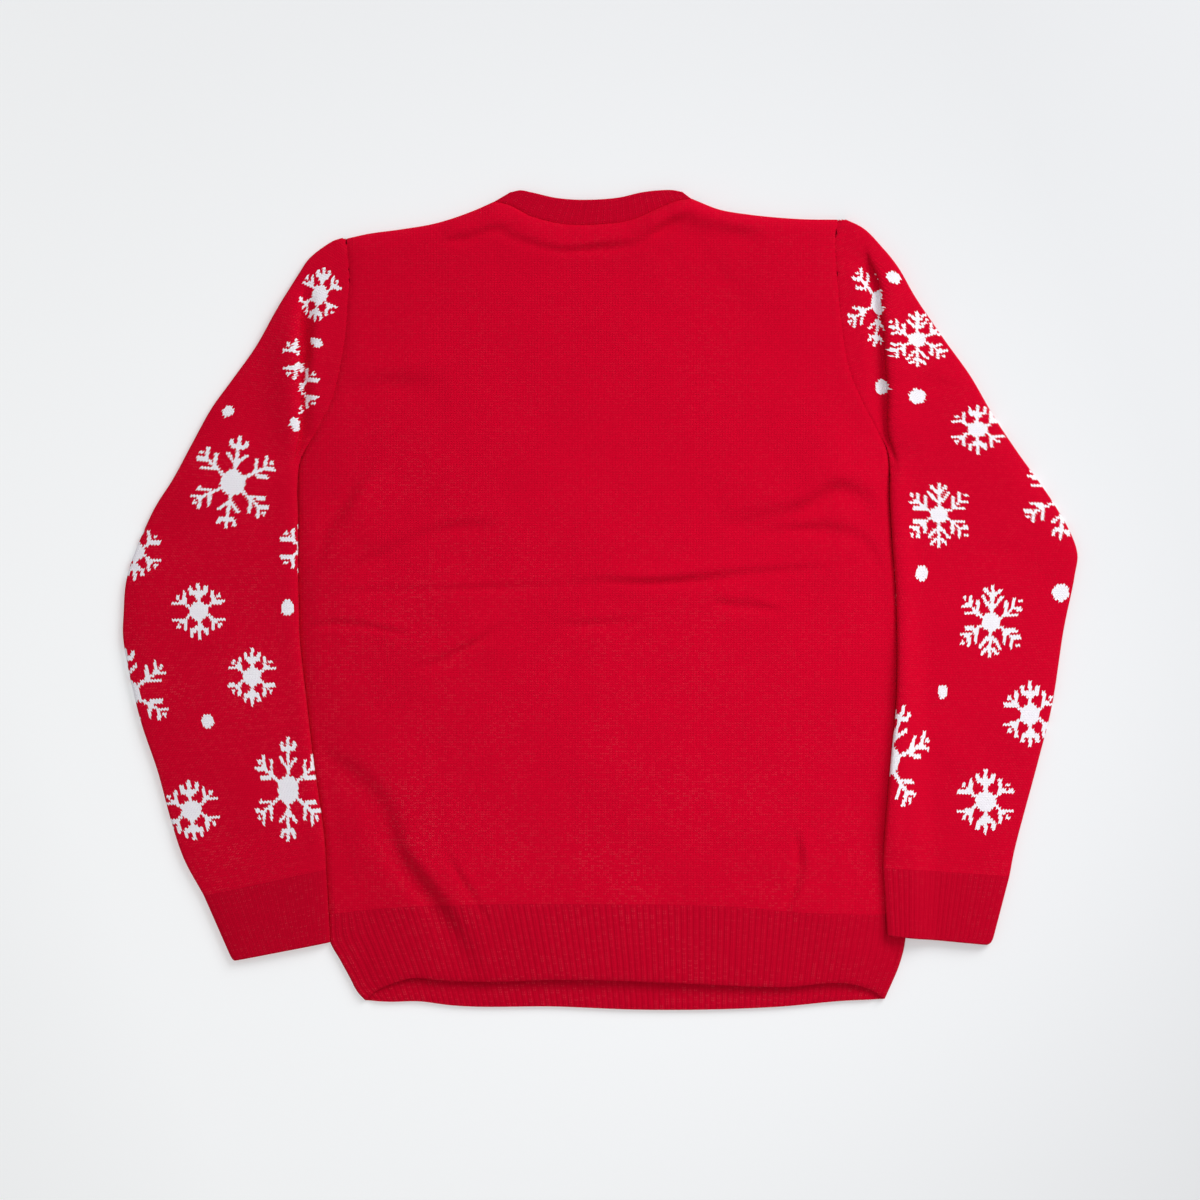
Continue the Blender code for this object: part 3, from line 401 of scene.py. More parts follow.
def edge_share(x, y):
    """Share of the wall that is left, less than 1 only at the body's rolled edges."""
    left, right = inward(x, y, LEFT_EDGE, 1), inward(x, y, RIGHT_EDGE, -1)
    rolled = roll(np.minimum(left, right), 3.0)
    sewn = smooth((y - LEFT_UNDERARM) / 30)
    return 0.02 + 0.98 * (sewn + (1 - sewn) * rolled)


print("the back's middle lies at", round(float(back_level(0.0, 100.0)), 2), "mm")

# %% [markdown]
# ## Laying cloth as a mesh
#
# Every panel becomes a grid of points, joined by four-sided faces. Each face corner
# also carries its place in the knitting, counted in stitches across and courses down.
# An image texture would need a picture of knitting. Counting stitches instead lets one
# material draw them all, at their true size, however the panel bends.

# %% Points and faces of a panel


class Cloth:
    """Points and faces of one panel, with the stitch that each face corner is at."""

    def __init__(self):
        self.points, self.quads, self.threes = [], [], []
        self.quad_stitches, self.three_stitches = [], []
        self.count = 0

    def add_points(self, points):
        """Adds a grid of points in millimetres, and gives back their numbers."""
        flat = np.reshape(points, (-1, 3))
        numbers = np.arange(self.count, self.count + len(flat)).reshape(np.shape(points)[:-1])
        self.points.append(flat)
        self.count += len(flat)
        return numbers

    def add_faces(self, corners, stitches):
        corners, stitches = np.array(corners), np.array(stitches, float)
        store, places = (
            (self.quads, self.quad_stitches) if corners.shape[-1] == 4
            else (self.threes, self.three_stitches)
        )
        store.append(corners)
        places.append(stitches)

    def add_grid(self, numbers, stitches, flip=False):
        """Four-sided faces over a grid of point numbers."""
        pick = lambda a: np.stack([a[:-1, :-1], a[1:, :-1], a[1:, 1:], a[:-1, 1:]], 2)
        corners = pick(numbers).reshape(-1, 4)
        places = pick(stitches).reshape(-1, 4, 2)
        if flip:
            corners, places = corners[:, ::-1], places[:, ::-1]
        self.add_faces(corners, places)

    def make(self, name, material):
        points = np.concatenate(self.points) * MM
        quads = np.concatenate(self.quads) if self.quads else np.zeros((0, 4), int)
        threes = np.concatenate(self.threes) if self.threes else np.zeros((0, 3), int)
        mesh = bpy.data.meshes.new(name)
        mesh.vertices.add(len(points))
        mesh.vertices.foreach_set("co", points.astype(np.float32).ravel())
        corners = np.concatenate([quads.ravel(), threes.ravel()]).astype(np.int32)
        mesh.loops.add(len(corners))
        mesh.loops.foreach_set("vertex_index", corners)
        starts = np.concatenate([
            np.arange(len(quads)) * 4, len(quads) * 4 + np.arange(len(threes)) * 3
        ])
        mesh.polygons.add(len(starts))
        mesh.polygons.foreach_set("loop_start", starts.astype(np.int32))
        mesh.update(calc_edges=True)
        places = mesh.uv_layers.new(name="stitches")
        flat = [np.concatenate(p).ravel() for p in (self.quad_stitches, self.three_stitches) if p]
        places.uv.foreach_set("vector", np.concatenate(flat).astype(np.float32))
        mesh.shade_smooth()
        mesh.materials.append(material)
        obj = bpy.data.objects.new(name, mesh)
        bpy.context.scene.collection.objects.link(obj)
        mesh.calc_loop_triangles()
        print(name, "triangles", len(mesh.loop_triangles))
        return obj


# %% Stitches and walls
STITCH_WIDE = 2.75    # one wale
STITCH_HIGH = 2.1     # one course
print("stitches in 100 mm:", round(100 / STITCH_WIDE), "across,", round(100 / STITCH_HIGH), "down")


def lifted(grid, height):
    return np.concatenate([grid, np.asarray(height)[..., None]], axis=-1)


def stitch_places(grid):
    """Stitches across and courses down at points of a panel that hangs straight."""
    return np.stack([grid[..., 0] / STITCH_WIDE, -grid[..., 1] / STITCH_HIGH], -1)


def wall(cloth, outer, inner, stitches, closed=False):
    """A wall of cloth: its outer face, its inner face and its edges all round.

    The edges have points of their own, so that they don't round off the faces' shading.
    """
    numbers = cloth.add_points(outer)
    inside = cloth.add_points(inner)
    if closed:
        join = lambda a: np.concatenate([a, a[:, :1]], axis=1)
        numbers, inside = join(numbers), join(inside)
    cloth.add_grid(numbers, stitches)
    cloth.add_grid(inside, stitches, flip=True)
    if closed:
        outer = np.concatenate([outer, outer[:, :1]], axis=1)
        inner = np.concatenate([inner, inner[:, :1]], axis=1)
    rims = [(outer[0], inner[0], stitches[0], True), (outer[-1], inner[-1], stitches[-1], False)]
    if not closed:
        rims += [(outer[:, 0], inner[:, 0], stitches[:, 0], False)]
        rims += [(outer[:, -1], inner[:, -1], stitches[:, -1], True)]
    for out, into, places, flip in rims:
        rim = cloth.add_points(np.stack([out, into]))
        cloth.add_grid(rim, np.stack([places, places]), flip)


# %% [markdown]
# ## Yarn
#
# Stocking stitch is columns of small Vs. Each V is two slanting loops of soft, slightly
# hairy yarn, so light catches the top of each loop and is lost between them. Modelling
# every loop would take millions of faces, so a material draws them. The stitch counts
# from the mesh place the loops: a slanted wave down each half of a column gives the
# loops, and a hump across it gives their round backs. That height drives a bump and a
# painted shade in the gaps, so the crests stand a little lighter. Fine noise is the
# fibre, and a slow one is the dye, which never takes quite evenly. Pale flecks are
# painted on some crests as painted highlights, more of them towards the lower left.

# %% Sockets as numbers


class Wire:
    """A socket. Sums on it add the Math nodes that work them out."""

    def __init__(self, tree, socket):
        self.tree, self.socket = tree, socket

    def sum(self, operation, *values):
        return add(self.tree, "ShaderNodeMath", {"operation": operation}, values)

    def __add__(self, other):
        return self.sum("ADD", self, other)

    def __sub__(self, other):
        return self.sum("SUBTRACT", self, other)

    def __rsub__(self, other):
        return self.sum("SUBTRACT", other, self)

    def __mul__(self, other):
        return self.sum("MULTIPLY", self, other)

    def __abs__(self):
        return self.sum("ABSOLUTE", self)

    __radd__, __rmul__ = __add__, __mul__

    def part(self):
        return self.sum("FRACT", self)

    def whole(self):
        return self.sum("FLOOR", self)

    def between(self, low, high):
        """0 at low, 1 at high, and held there."""
        return add(self.tree, "ShaderNodeMapRange", {"clamp": True}, (self, low, high, 0.0, 1.0))


def add(tree, kind, settings, values, output=0):
    """Adds a node, sets it up, then fills its sockets by place or by name."""
    node = tree.nodes.new(kind)
    for name, value in settings.items():
        setattr(node, name, value)
    pairs = values.items() if isinstance(values, dict) else enumerate(values)
    for place, value in pairs:
        if isinstance(value, Wire):
            tree.links.new(value.socket, node.inputs[place])
        elif value is not None:
            node.inputs[place].default_value = value
    return Wire(tree, node.outputs[output])


def mix(tree, share, first, second):
    """A colour between two others."""
    sockets = {0: share, 6: first, 7: second}
    return add(tree, "ShaderNodeMix", {"data_type": "RGBA", "clamp_factor": True}, sockets, 2)


# %% Noise and plain settings


def noise(tree, body, scale, detail):
    sockets = {"Vector": body, "Scale": scale, "Detail": detail}
    return add(tree, "ShaderNodeTexNoise", {}, sockets, 0)


def set_shader(shader, values):
    for socket, value in values.items():
        shader.inputs[socket].default_value = value


# %% The knit material
VEE = 0.6             # how far the middle of a stitch hangs below its sides, in courses
LOOP_HIGH = 0.0007    # how far a loop stands out, in metres
SHADE = 0.34          # painted shade: how much darker the colour is made between the loops
UNEVEN, DYE = 0.12, 0.14             # how much the tone changes by the stitch, and in patches
FIBRE_FINE, DYE_FINE, HIGHLIGHT_PATCH_FINE = 1900.0, 14.0, 15.0   # how fine each noise is
# pale colour of the painted highlights on the crests of loops
FLECK_HIGHLIGHT = (0.90, 0.13, 0.17, 1.0)
# the white yarn, and its colour deep in the painted shade between loops
WHITE, WHITE_GAP_SHADE = (0.97, 0.95, 1.0, 1.0), (0.80, 0.73, 0.85, 1.0)


def knit(name, colour, gap_shade, rib=False, motif=False):
    """Knitted yarn. With rib, only the raised column of each rib has its loops."""
    material = bpy.data.materials.new(name)
    material.use_nodes = True
    tree = material.node_tree
    shader = tree.nodes["Principled BSDF"]
    place = add(tree, "ShaderNodeUVMap", {"uv_map": "stitches"}, ())
    across = add(tree, "ShaderNodeSeparateXYZ", {}, (place,), 0)
    down = Wire(tree, across.socket.node.outputs[1])
    leg = abs(across.part() - 0.5) * 2.0
    if rib:
        leg = leg.sum("MINIMUM", leg * 1.5, 1.0)
    course = down + leg * VEE - VEE
    loop = course.part() * 2.0 - 1.0
    hump = leg * 2.0 - 1.0
    height = (1.0 - loop * loop) * (1.0 - hump * hump)
    body = add(tree, "ShaderNodeTexCoord", {}, (), "Object")
    stitch = add(tree, "ShaderNodeCombineXYZ", {}, (across.whole(), course.whole(), 0.0))
    chance = add(tree, "ShaderNodeTexWhiteNoise", {"noise_dimensions": "2D"}, {0: stitch}, 0)
    fibre = noise(tree, body, FIBRE_FINE, 2.0)
    dye = noise(tree, body, DYE_FINE, 3.0)
    lively = noise(tree, body, HIGHLIGHT_PATCH_FINE, 3.0)
    lofty = height * (0.75 + 0.5 * chance) + fibre * 0.35
    sockets = {"Strength": 0.55, "Distance": LOOP_HIGH, "Height": lofty}
    bump = add(tree, "ShaderNodeBump", {}, sockets)
    # painted shade: the colour is darkened in the gaps between loops, towards the gap's shade
    # colour
    lit = (1 - SHADE) + SHADE * height.between(0.0, 0.8)
    shade_and_tone = lit + (chance - 0.5) * UNEVEN + (dye - 0.5) * DYE
    tint = mix(tree, shade_and_tone, (*gap_shade, 1.0), (*colour, 1.0))
    right = add(tree, "ShaderNodeSeparateXYZ", {}, (body,), 0)
    ahead = Wire(tree, right.socket.node.outputs[1])
    # painted highlights: pale flecks on some crests, more of them towards the lower left
    lower_left = (right * 0.7 + ahead).between(0.10, -0.30)
    crest_highlights = lively.between(0.25, 0.75) * height.between(0.5, 0.95) * chance.between(0.45, 1.0)
    tint = mix(tree, crest_highlights * (0.10 + 0.20 * lower_left), tint, FLECK_HIGHLIGHT)
    if motif:
        mask = add(tree, "ShaderNodeVertexColor", {"layer_name": "motif"}, (), 0)
        share = add(tree, "ShaderNodeSeparateColor", {}, (mask,), 0)
        tint = mix(tree, share, tint, mix(tree, shade_and_tone, WHITE_GAP_SHADE, WHITE))
    for socket, wire in (("Base Color", tint), ("Normal", bump)):
        tree.links.new(wire.socket, shader.inputs[socket])
    set_shader(shader, {
        "Roughness": 0.9, "Specular IOR Level": 0.04,
        "Sheen Weight": 0.06, "Sheen Roughness": 0.55, "Sheen Tint": (1.0, 0.12, 0.16, 1.0),
    })
    print(name, "nodes", len(tree.nodes))
    return material


# %% Three ways of knitting the red yarn
# the red yarn, and its colour deep in the painted shade between loops
RED, RED_GAP_SHADE = (0.69, 0.0, 0.023), (0.37, 0.0, 0.011)
plain_knit = knit("plain_knit", RED, RED_GAP_SHADE)
# the rib is the same red yarn, painted darker as painted shade in the ribbed cloth
rib_knit = knit("rib_knit", (0.565, 0.0, 0.0197), (0.37, 0.0, 0.0112), rib=True)
motif_knit = knit("motif_knit", RED, RED_GAP_SHADE, motif=True)

# %% Hanging a panel under the root


def lay(obj, node):
    """Hangs a panel under the root body and hides the plain part that it stands in for."""
    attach(obj, "root")
    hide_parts(node)


# %% [markdown]
# ## Front and back panels
#
# The front is the layer that the jumper lies on, so it is flat. The back lies over it,
# arches over the hollow between them and rolls down to the side seams. Both are walls
# with a real thickness rather than single sheets, so their edges read as cloth. At every
# seam the edge turns down into a fine groove, where the sewing pulls it in.

# %% The back panel
SEAM_DIP = 0.45       # how far the cloth turns down into a seam
SEAM_WIDE = 2.6       # width over which it turns down


def seam_dip(x, y):
    """How far the back turns down at its sewn edges."""
    left, right = inward(x, y, LEFT_EDGE, 1), inward(x, y, SHOWN_EDGE, -1)
    sewn = smooth((y - LEFT_UNDERARM + 6) / 10)
    top = np.interp(x, back_grid[0, :, 0], back_grid[0, :, 1]) - y
    bottom = y - np.interp(x, back_grid[-1, :, 0], back_grid[-1, :, 1])
    near = np.minimum(np.where(sewn > 0, np.minimum(left, right), 1e9), top)
    dip = SEAM_DIP * sewn * (1 - roll(near, SEAM_WIDE))
    return np.maximum(dip, 0.2 * (1 - roll(bottom, 2.0)))


x, y = back_grid[..., 0], back_grid[..., 1]
under = back_level(x, y)
outer = under + WALL * edge_share(x, y) - seam_dip(x, y)
inner = np.minimum(under, outer - 0.05)
cloth = Cloth()
wall(cloth, lifted(back_grid, outer), lifted(back_grid, inner), stitch_places(back_grid))
back = cloth.make("back", plain_knit)

# %% The front panel
RIM = 0.9             # seam edge of the front that lies under a sleeve's edge
RIM_LOW, RIM_HIGH = 0.08, 0.5        # underside and top of that edge
FRONT_DIP, FRONT_LIFT = 0.5, 0.4     # how far the front's top and underside close in at its edges
inside = body_grid(FRONT_NECK)[::2, ::6]
front_grid = np.concatenate([inside[:, :1] - (RIM, 0), inside, inside[:, -1:] + (RIM, 0)], 1)
top = np.full(front_grid.shape[:2], WALL)
top[[0, -1]] = top[:, [1, -2]] = WALL - FRONT_DIP
top[:, [0, -1]] = RIM_HIGH
bottom = np.zeros(front_grid.shape[:2])
bottom[[0, -1]] = FRONT_LIFT
bottom[:, [0, -1]] = RIM_LOW
cloth = Cloth()
wall(cloth, lifted(front_grid, top), lifted(front_grid, bottom), stitch_places(front_grid))
front = cloth.make("front", plain_knit)

lay(front, "front_panel")
lay(back, "back_panel")

# %% [markdown]
# ## Ribbed hem
#
# One-by-one rib is a column of knit, then a column of purl, by turns. The knit columns
# stand up as round cords and the purl ones sink between them, which is what lets the
# hem stretch and pull in. Bump alone looks painted on at a grazing angle, so the ribs
# are modelled, with eight columns of points to each, and the material adds the stitches.
# The front's hem is a little longer, and curls up where it shows below the back's.

# %% Edges of the hem
BACK_HEM = (
    (-211.5, -360.8), (-202.0, -352.5), (-186.0, -345.0), (-168.0, -340.2),
    (-144.0, -342.2), (-108.0, -343.4), (-36.0, -341.6), (72.0, -344.6),
    (165.0, -348.2), (228.6, -346.2), (244.0, -351.0), (256.5, -359.6),
)
FRONT_HEM = (
    (-211.5, -360.8), (-190.0, -362.0), (-163.8, -361.6), (-136.0, -365.0),
    (-36.0, -366.4), (30.0, -369.0), (97.0, -369.0), (162.0, -366.4),
    (222.0, -361.0), (256.5, -359.6),
)
HEM_RIBS = 92
HEM_ROWS = 30
BACK_DEEP, FRONT_DEEP = 68.0, 88.0   # rib line to edge
HEM_RISE = 0.55      # how far the ribs stand above their furrows
HEM_CURL = 1.8       # how far the front hem curls up below the back hem
HEM_WIDE, SIDE_BOW = 480.0, 22.0     # how far in the bowed sides of the hem bend its ribs
print("one rib of the hem is", round(HEM_WIDE / HEM_RIBS, 1), "mm wide")

# %% Rib profile
RIB_STEPS = 8
RIB_LOFT = 0.2        # how far even the furrows stand above a wall of rib


def rib_wave(ribs, uneven=0.12):
    """Height of the ribs at each column, from 0 in a furrow to 1 on a crest."""
    phase = np.arange(ribs * RIB_STEPS + 1) / RIB_STEPS
    crest = np.abs(np.sin(np.pi * phase)) ** 0.8
    return crest * (1 - uneven * (0.5 + 0.5 * np.sin(np.floor(phase) * 2.4)))


def hem_grid(bottom, rows):
    """Straight ribs from the rib line to the edge, following the sides only beside them."""
    shares = np.linspace(0, 1, HEM_RIBS * RIB_STEPS + 1)
    coarse = along(RIB_LINE, body_columns)
    top = np.stack([np.interp(shares, body_columns, coarse[:, i]) for i in (0, 1)], 1)
    low = along(bottom, shares)
    steps = np.linspace(0, 1, rows)
    v = steps[:, None, None]
    grid = (1 - v) * top + v * low
    for side, column, far in ((LEFT_HEM_SIDE, 0, shares), (RIGHT_HEM_SIDE, -1, 1 - shares)):
        bow = along(side, steps) - grid[:, column]
        grid = grid + bow[:, None] * np.exp(-((far * HEM_WIDE / SIDE_BOW) ** 2))[None, :, None]
    return grid


def rib_places(across, grid, closed=False):
    """Each rib counts as one stitch across, and courses are counted down from the seam."""
    steps = np.linalg.norm(np.diff(grid[..., :2], axis=0), axis=-1)
    down = np.concatenate([np.zeros((1, grid.shape[1])), np.cumsum(steps, axis=0)]) / STITCH_HIGH
    if closed:
        down = np.concatenate([down, down[:, :1]], 1)
    return np.stack([np.broadcast_to(across, down.shape), down], -1)


def rib_wall(grid, outer, inner, name):
    cloth = Cloth()
    places = rib_places(np.arange(grid.shape[1]) / RIB_STEPS, grid)
    wall(cloth, lifted(grid, outer), lifted(grid, inner), places)
    return cloth.make(name, rib_knit)


print("one rib in heights", rib_wave(1).round(2))

# %% Hem of the back
grid = hem_grid(BACK_HEM, HEM_ROWS)
x, y = grid[..., 0], grid[..., 1]
wave = rib_wave(HEM_RIBS)
wave = wave * (0.8 + 0.2 * np.sin(np.linspace(-1.2, 2.9, len(wave))))
down = np.linspace(0, 1, HEM_ROWS)[:, None]
edge = edge_share(x, y)
level = back_level(x, y)
starts = smooth(down * BACK_DEEP / 2.5)
ends = roll((1 - down) * BACK_DEEP + 0.3, 2.2)
rise = HEM_RISE * wave * smooth((edge - 0.2) * 1.5) * starts
cloth_up = WALL - 0.2 + (RIB_WALL - WALL + 0.2) * starts
outer = level + (cloth_up * edge + rise) * (0.35 + 0.65 * ends) - 0.5 * (1 - ends)
hem_back = rib_wall(grid, outer, np.minimum(level, outer - 0.1), "hem_back")

# %% Hem of the front
HEM_MIDDLE, HEM_HALF = 0.9, 0.7      # where its wall closes at the edge, and how much lies above
grid = hem_grid(FRONT_HEM, HEM_ROWS)
x, y = grid[..., 0], grid[..., 1]
ends = roll((1 - down) * FRONT_DEEP + 0.3, 2.2)
back_edge = along(BACK_HEM, np.linspace(0, 1, 60))
below = np.interp(x, back_edge[:, 0], back_edge[:, 1]) - y
shown = smooth((below + 3) / 6)
curl = HEM_CURL * smooth((down * FRONT_DEEP - 70) / 18) * smooth((below - 3) / 9)
outer = HEM_MIDDLE + (HEM_HALF + (HEM_RISE * wave + RIB_LOFT) * shown) * ends + curl
inner = (HEM_MIDDLE - 0.1 * ends) * (1 - ends * wave) + curl
hem_front = rib_wall(grid, outer, inner, "hem_front")
lay(hem_back, "hem_rib_back")
lay(hem_front, "hem_rib_front")

# %% [markdown]
# ## Sleeves
#
# A sleeve is a tube that lies flattened, its cap folded over a strip beside the armhole.
# A patch between four edges, as on the body, can't turn round such a fold. So each row
# across the sleeve is drawn as a path instead: from the folded outer edge over the top,
# down round the lip of the cap's fold, to the seam, and likewise underneath.

# %% Measures of the sleeves
TUBE_HOLLOW = 0.5     # hollow at the folded edge of a sleeve
TUBE_ROUND = 2.65     # radius of that edge
SLEEVE_CROWN = 2.4    # how far a sleeve's upper layer arches up
SLEEVE_ROLL = 26.0    # width over which it rises to that
SLEEVE_LIFT = 6.1     # height of the right sleeve where it lies on the body
LIFT_SHELF, LIFT_FALL = 4.0, 26.0    # width of its ledge there, and of the fall beside it
LEFT_BULGE, RIGHT_BULGE, BULGE_WIDE = 1.6, 4.4, 11.0   # swelling of a sleeve beside the body
LEFT_VALLEY, RIGHT_VALLEY = 13.0, 22.0   # width of the hollow beside the lip of the cap's fold
STRIP_SINK = 2.6      # how far the cap sinks beside the lip of its fold
LIP_STAND = 1.6       # how much higher the lip stands, for each millimetre of its lap
LIP_SPREAD = 20.0     # width over which the cap comes down again from the lip
print("two layers and their hollow are", 2 * WALL + TUBE_HOLLOW, "mm high")

# %% The lip of a cap's fold
LipPoint = namedtuple("LipPoint", "along height open")
LIP = (
    LipPoint(3.0, 0.02, 0.0),
    LipPoint(4.0, 0.12, 1.4),
    LipPoint(1.8, 0.26, 2.8),
    LipPoint(0.0, 0.50, 4.2),
    LipPoint(1.6, 0.84, 5.6),
    LipPoint(6.0, 1.00, 8.0),
)
STRIP, REST_COLUMNS = 14, 46         # points beside the lip, and over the rest of a row
fine_lip = curve(np.array(LIP, float), np.arange(6.0), np.linspace(0, 5, 21))
print("points round the lip", len(fine_lip))

# %% Folds of the sleeves
SLEEVE_FOLDS = (
    Fold(0.0, 4.5, 2.4, ((-257, 274), (-261, 250), (-264, 226), (-268, 196), (-270, 170))),
    Fold(0.0, 4.0, 1.2, ((243, 300), (252, 284), (259, 262))),
    Fold(1.4, 6.0, 0.2, ((-404, 58), (-352, 78), (-300, 92))),
    Fold(1.2, 8.0, 0.2, ((-380, -190), (-330, -120), (-300, -60))),
    Fold(1.1, 6.0, 0.1, ((-395, -30), (-350, -46), (-300, -44))),
    Fold(1.2, 5.0, 0.2, ((-340, -214), (-300, -206), (-262, -214))),
    Fold(1.9, 5.5, 0.4, ((258, 196), (292, 199), (334, 191))),
    Fold(1.2, 8.0, 0.1, ((300, 60), (350, 54), (402, 38))),
    Fold(1.2, 8.0, 0.2, ((290, -120), (322, -160), (352, -204))),
    Fold(1.1, 6.0, 0.1, ((286, -40), (330, -30), (384, -44))),
)
print("folds on the sleeves", len(SLEEVE_FOLDS))

# %% Heights across a sleeve


def sleeve_lift(y, distance):
    """Height of the right sleeve's underside, at a distance from its inner edge."""
    under = np.array(HIDDEN_SIDE)
    hidden = np.interp(-y, -under[:, 1], under[:, 0])
    over = np.maximum(hidden - beside(RIGHT_SLEEVE, RIGHT_CUFF_END, y), 0)
    climb = smooth((LIFT_FROM - y) / LIFT_LENGTH)
    return SLEEVE_LIFT * climb * (1 - smooth((distance - over - LIFT_SHELF) / LIFT_FALL))


def lay_columns(row, width, edge):
    """Places across a row, open and lapped over at the fold, and how much it is folded."""
    fold = max(row[4] * width, edge + 1.8)
    strip = edge + (fold - 1.5 - edge) * (1 - np.linspace(1, 0, STRIP) ** 2)
    start = fold + fine_lip[-1, 2]
    end = max(width - TUBE_ROUND, start)
    after = start + (end - start) * np.arange(1, REST_COLUMNS + 1) / REST_COLUMNS
    flat = np.concatenate([strip, fold + fine_lip[:, 2], after])
    lapped = np.concatenate([strip, fold + fine_lip[:, 0], after])
    share, amount = smooth(row[5] / 2.5), smooth(row[5] / 4.0)
    return flat, flat + (lapped - flat) * share * amount, share


def cap_height(row, place, width, seam_level, sewn, share, bulge, valley):
    """Height of the upper layer's top above the lower layer's underside."""
    rise = roll(np.minimum(place, width - place), SLEEVE_ROLL)
    free = 2 * WALL + TUBE_HOLLOW + SLEEVE_CROWN * rise
    swollen = free + bulge * np.exp(-(((place - BULGE_WIDE * 0.5) / BULGE_WIDE) ** 2))
    free = free + (swollen - free) * (1 - sewn * smooth((sewn - 0.5) * 2))
    reach = SLEEVE_ROLL * (0.3 + 0.7 * sewn ** 3)
    from_seam = WALL + seam_level + (free - WALL - seam_level) * smooth(place / reach)
    height = free + (from_seam - free) * sewn
    floor = 2 * WALL + TUBE_HOLLOW
    deep = floor - STRIP_SINK * smooth(row[5] / 4.0)
    lip = slice(STRIP, STRIP + len(fine_lip))
    fold = row[4] * width
    beyond = np.exp(-(((place - fold - fine_lip[-1, 0]) / LIP_SPREAD) ** 2))
    lapped = height + (floor + LIP_STAND * row[5] - height) * beyond
    valley = min(valley, max(fold, 1.0))
    dip = smooth((place[:STRIP] - fold + valley) / valley)
    lapped[:STRIP] = height[:STRIP] * (1 - dip) + deep * dip
    lapped[lip] = deep + (floor + LIP_STAND * row[5] - deep) * fine_lip[:, 1]
    return height + (lapped - height) * share


# %% The path across a sleeve
QUARTER = np.radians([75, 60, 45, 30, 15, 0])   # down round an edge, to its middle
SEAM_UNDER = np.array([1.5, 0.9, 0.35, 0.1, 0.0, -0.3])   # how far in a sewn edge's side lies
SEAM_SIDE = (0.4, 0.7, 1.3, 2.2)      # and how high, in its lower part


def rounded(top, bottom, turn):
    """Heights round an edge, from its middle up to the top at a quarter turn."""
    return (top + bottom) / 2 + (top - bottom) / 2 * np.sin(turn)


def across_sleeve(row, sewn, lifts, seed, calm):
    """Paths over and under a sleeve, from its outer edge to its inner edge."""
    start, end = np.array(row[2:4]), np.array(row[0:2])
    width = np.linalg.norm(end - start)
    ahead = (end - start) / width
    edge = 0.3 + (TUBE_ROUND - 0.3) * (1 - sewn)
    outer_round = min(TUBE_ROUND, width * 0.3)
    plain, lapped, share = lay_columns(row, width, edge)
    plain = np.minimum(plain, width - outer_round)
    lapped = np.minimum(lapped, width - outer_round)
    seam_level = float(back_level(start[0], start[1]))

    def base(places):
        y = start[1] + ahead[1] * places
        return sleeve_lift(y, places) if lifts else np.zeros(len(places))

    xy = start + ahead * plain[:, None]
    middle = smooth(np.minimum(plain, width - plain) / SLEEVE_ROLL)
    relief = fold_height(SLEEVE_FOLDS, *xy.T) + swell(*xy.T, seed)
    relief = relief * middle * calm
    bulge, valley = (RIGHT_BULGE, RIGHT_VALLEY) if lifts else (LEFT_BULGE, LEFT_VALLEY)
    cap = cap_height(row, plain, width, seam_level, sewn, share, bulge * calm, valley)
    top = base(plain) + np.maximum(cap + relief, 0.8)
    places = np.linspace(width - outer_round, edge, 40)
    bottom = base(places)

    far = width - outer_round + outer_round * np.cos(QUARTER)
    near = edge * (1 - np.cos(QUARTER)) - 0.3 * sewn * np.cos(QUARTER)
    drop = SEAM_DIP * sewn * (1 - roll(lapped, SEAM_WIDE))
    seam_top = top[0] - SEAM_DIP - 0.3 * sewn
    near_up = rounded(top[0], bottom[-1], QUARTER)
    near_up = near_up + (seam_top - near_up) * sewn
    side = np.array([*SEAM_SIDE, 0.7 * seam_top, seam_top])
    side = side + bottom[-1] * np.array([1, 1, 1, 1, 0, 0])
    near_low = rounded(bottom[-1], top[0], QUARTER)
    near_low = near_low + (side - near_low) * sewn
    near_under = near + (SEAM_UNDER - near) * sewn
    up = (
        np.concatenate([far[::-1], lapped[::-1], near]),
        np.concatenate([
            rounded(top[-1], bottom[0], QUARTER)[::-1], (top - drop)[::-1], near_up
        ]),
    )
    low = (
        np.concatenate([far[::-1], places[:-1], near_under]),
        np.concatenate([rounded(bottom[0], top[-1], QUARTER)[::-1], bottom[:-1], near_low]),
    )
    laid_open = np.hypot(np.diff(up[0]), np.diff(up[1]))
    laid_open[len(far): len(far) + len(plain) - 1] = abs(np.diff(plain[::-1]))
    nose = lapped[STRIP + 10] if share > 0.3 else -1.0
    return up, laid_open, low, start, ahead, nose


# %% Points along a path


def set_points(path, pitch, steps=None):
    """Points along a path, as near the pitch apart as fits a whole number of them."""
    if steps is None:
        steps = np.hypot(np.diff(path[0]), np.diff(path[1]))
    stations = np.concatenate([[0.0], np.cumsum(steps)])
    count = max(int(round(stations[-1] / pitch)), 2)
    at = np.linspace(0, stations[-1], count + 1)
    return np.interp(at, stations, path[0]), np.interp(at, stations, path[1])


short = set_points((np.array([0.0, 11.0]), np.zeros(2)), STITCH_WIDE / 2)[0]
print("points on a path 11 mm long:", len(short))

# %% [markdown]
# ## Snowflakes
#
# The snowflakes are knitted in, so their edges are as jagged as the stitches' own legs.
# Each is drawn by rule: round-ended strokes in one quarter, mirrored across and down, as
# a knitter charts a motif from its middle stitch. A leg is white if its middle lies in a
# stroke. A picture laid over the cloth would cut through the yarn, which knitting can't do.

